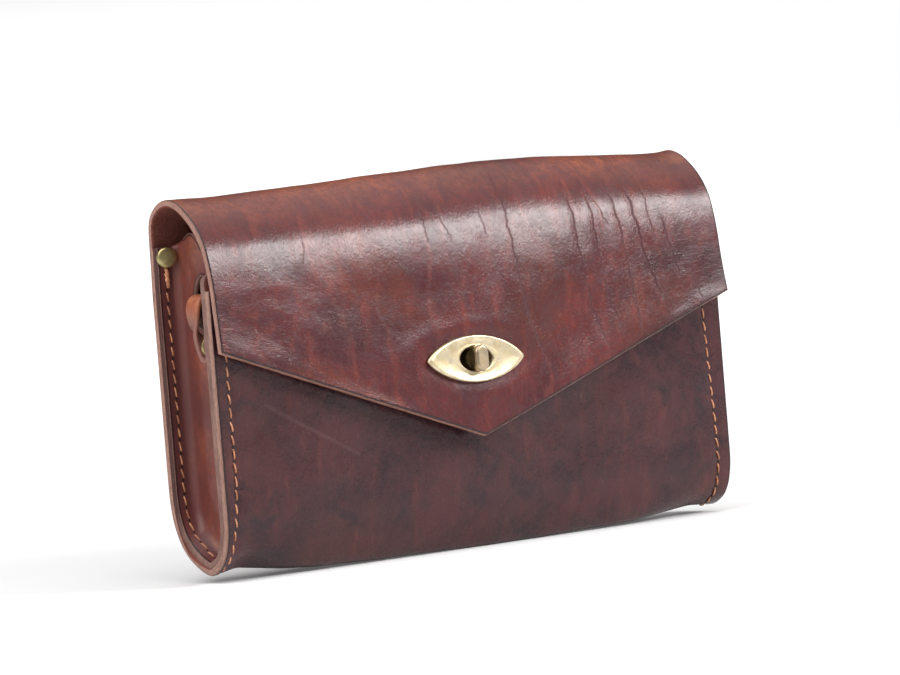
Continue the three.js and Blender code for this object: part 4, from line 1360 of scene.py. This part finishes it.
def build_stitches(side):
    """Outside and inside stitch rows of one end."""
    name = "left" if side < 0 else "right"
    at = np.linspace(8, BACK_TOP_AT - 12, 700)
    z = sheet_points([side * (HALF_LENGTH - RIGHT_STITCH_INSET)], at)[0, :, 2]
    x = np.array([stitch_x(side, value) for value in z])
    spots = list(zip(x[::5], at[::5]))
    outer = np.array([sheet_points([spot_x], [spot_at])[0, 0] for spot_x, spot_at in spots])
    normals = np.array([section_normals([spot_x], [spot_at])[0, 0] for spot_x, spot_at in spots])
    pieces = stitch_row(f"outside_{name}", outer, normals, 0.2, 0.25, 0.22)

    inner_x = HALF_LENGTH - INSIDE_STITCH_INSET
    inner_at = np.linspace(4, BACK_TOP_AT - 12, 400)
    inner = gusset_loop(side, inner_x, GUSSET, inner_at)
    inner_normals = -section_normals([side * inner_x], inner_at)[0]
    pieces += stitch_row(f"inside_{name}", inner, inner_normals, 0.1, 0.0, 0.25)

    knot_at = np.linspace(BACK_TOP_AT - 17, BACK_TOP_AT - 9.5, 40)
    knot = gusset_loop(side, inner_x, GUSSET, knot_at)
    turns = np.array([8, 20, 32])
    tangents = knot[turns + 4] - knot[turns]
    tangents /= np.linalg.norm(tangents, axis=1, keepdims=True)
    own = -section_normals([side * inner_x], knot_at)[0][turns]
    pieces.append(stitch_mesh(
        f"stitch_knot_{name}", knot[turns] + own * 0.45, tangents, own, KNOT_LENGTH, KNOT_RADIUS, 0.3))
    for piece in pieces:
        finish_piece(piece, "root", [])


build_sheet()
for end in (-1, 1):
    build_gusset(end)
    build_strap(end)
    build_stitches(end)
    label = "left" if end < 0 else "right"
    rivet_x = end * (HALF_LENGTH - RIVET_INSET)
    rivet_z = BACK_FLANGE_TOP - BACK_RIVET_DROP
    inside_y = flange_y(end, rivet_z, True) - SEAT_GAP - CAP_LIFT
    back_grip = LEATHER + GUSSET + 3 * SEAT_GAP + 0.4 + CAP_LIFT
    back_place = (rivet_x + end * BACK_RIVET_SHIFT, inside_y, rivet_z)
    build_rivet(
        f"brass_back_rivet_{label}", f"rivet_back_{label}", back_place, -1, back_grip, True, end * CAP_TILT)
    seat_y = flange_y(end, STRAP_RIVET_Z, False) + STRAP_THICKNESS + 2 * SEAT_GAP
    strap_place = (rivet_x, seat_y, STRAP_RIVET_Z)
    strap_grip = STRAP_THICKNESS + GUSSET
    build_rivet(
        f"brass_strap_rivet_{label}", f"rivet_strap_{label}", strap_place, 1, strap_grip, False, 0.0)
build_plate()
build_knob()

lock_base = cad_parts["lock_base"]
lock_base.data.materials.clear()
lock_base.data.materials.append(dark_brass)


# Floor, light and camera
FLOOR_RADIUS = 6000.0
FLOOR_GLOW_NEAR = 0.10
FLOOR_GLOW_FAR = 0.75


def build_floor():
    """Pale floor, brighter far behind the bag and darker far in front of it."""
    shade = Shade("pale_floor")
    tint = shade.noise(shade.object_place(), 3.0, 2, 0.5)
    color = shade.mix(shade.span(tint, 0.3, 0.7), (0.70, 0.70, 0.70), (0.73, 0.73, 0.73))
    x, y, _ = shade.split(shade.object_place())
    color = shade.mix(shade.span(y, -0.45, -1.1), color, (0.28, 0.28, 0.28))
    square = shade.plus(shade.times(x, x), shade.times(y, y))
    away = shade.math("POWER", square, 0.5)
    glow = shade.span(away, 0.15, 1.9, FLOOR_GLOW_NEAR, FLOOR_GLOW_FAR)
    glow = shade.times(glow, shade.span(y, -0.8, -0.2))
    material = shade.finish(
        Base_Color=color, Roughness=0.9, Specular_IOR_Level=0.1, Emission_Color=(1.0, 1.0, 1.0),
        Emission_Strength=glow)
    sides = 64
    points = [(0.0, 0.0, 0.0)]
    for i in range(sides):
        angle = i / sides * math.tau
        points.append((FLOOR_RADIUS * math.cos(angle), FLOOR_RADIUS * math.sin(angle), 0.0))
    faces = [(0, 1 + i, 1 + (i + 1) % sides) for i in range(sides)]
    floor = make_object("studio_floor", points, faces, [material])


def add_area_light(name, position, size, power):
    """Soft light aimed at the middle of the bag."""
    data = bpy.data.lights.new(name, "AREA")
    data.shape = "RECTANGLE"
    data.size, data.size_y = size
    data.energy = power
    light = bpy.data.objects.new(name, data)
    light.location = Vector(position)
    ahead = Vector((0.0, 0.0, 0.1)) - Vector(position)
    light.rotation_euler = ahead.to_track_quat("-Z", "Y").to_euler()
    bpy.context.scene.collection.objects.link(light)


def toward(azimuth, elevation, distance):
    """Place seen from the bag: azimuth from the front toward the right, in degrees."""
    turn = math.radians(azimuth)
    rise = math.radians(elevation)
    return (
        distance * math.sin(turn) * math.cos(rise), -distance * math.cos(turn) * math.cos(rise),
        0.08 + distance * math.sin(rise))


def build_light():
    """Soft studio light: the key is low at the front right, with fills from the left and above."""
    world = bpy.data.worlds.new("studio")
    shade = Shade(world)
    _, _, up = shade.split(shade.nodes.new("ShaderNodeTexCoord").outputs["Generated"])
    horizon = shade.span(up, 0.0, 0.025, 1.0, 0.12)
    overhead = shade.span(up, 0.5, 0.9, 0.0, 1.4)
    background = shade.nodes["Background"]
    shade.put(background, "Strength", shade.plus(horizon, overhead))
    background.inputs["Color"].default_value = (1, 1, 1, 1)
    bpy.context.scene.world = world
    add_area_light("key_front_right", toward(41, 27.0, 1.6), (0.85, 0.42), 24.5)
    add_area_light("fill_left", toward(-75, 35, 1.3), (0.8, 0.8), 7.5)
    add_area_light("top_front_left", toward(-35, 66, 1.3), (0.9, 0.7), 4)


def build_camera():
    """Camera at the photo's angle: azimuth, elevation, roll and distance fitted to the photo."""
    azimuth = math.radians(37)
    elevation = math.radians(3.043)
    roll = math.radians(4.68)
    distance = 2.733
    target = Vector((0.002538, 0.0, 0.087851))
    level = math.cos(elevation)
    look = Vector((math.sin(azimuth) * level, math.cos(azimuth) * level, -math.sin(elevation)))
    right = Vector((math.cos(azimuth), -math.sin(azimuth), 0))
    up = right.cross(look)
    camera_x = right * math.cos(roll) - up * math.sin(roll)
    camera_y = right * math.sin(roll) + up * math.cos(roll)
    data = bpy.data.cameras.new("photo_camera")
    data.sensor_width = 36
    data.lens = 260.14
    data.clip_start = 0.05
    data.clip_end = 30
    camera = bpy.data.objects.new("photo_camera", data)
    camera.matrix_world = Matrix((
        (camera_x[0], camera_y[0], -look[0], 0),
        (camera_x[1], camera_y[1], -look[1], 0),
        (camera_x[2], camera_y[2], -look[2], 0),
        (0, 0, 0, 1),
    ))
    camera.location = target - look * distance
    bpy.context.scene.collection.objects.link(camera)
    bpy.context.scene.camera = camera


build_floor()
build_light()
build_camera()
bpy.context.scene.view_settings.view_transform = "Standard"

bpy.context.view_layer.update()
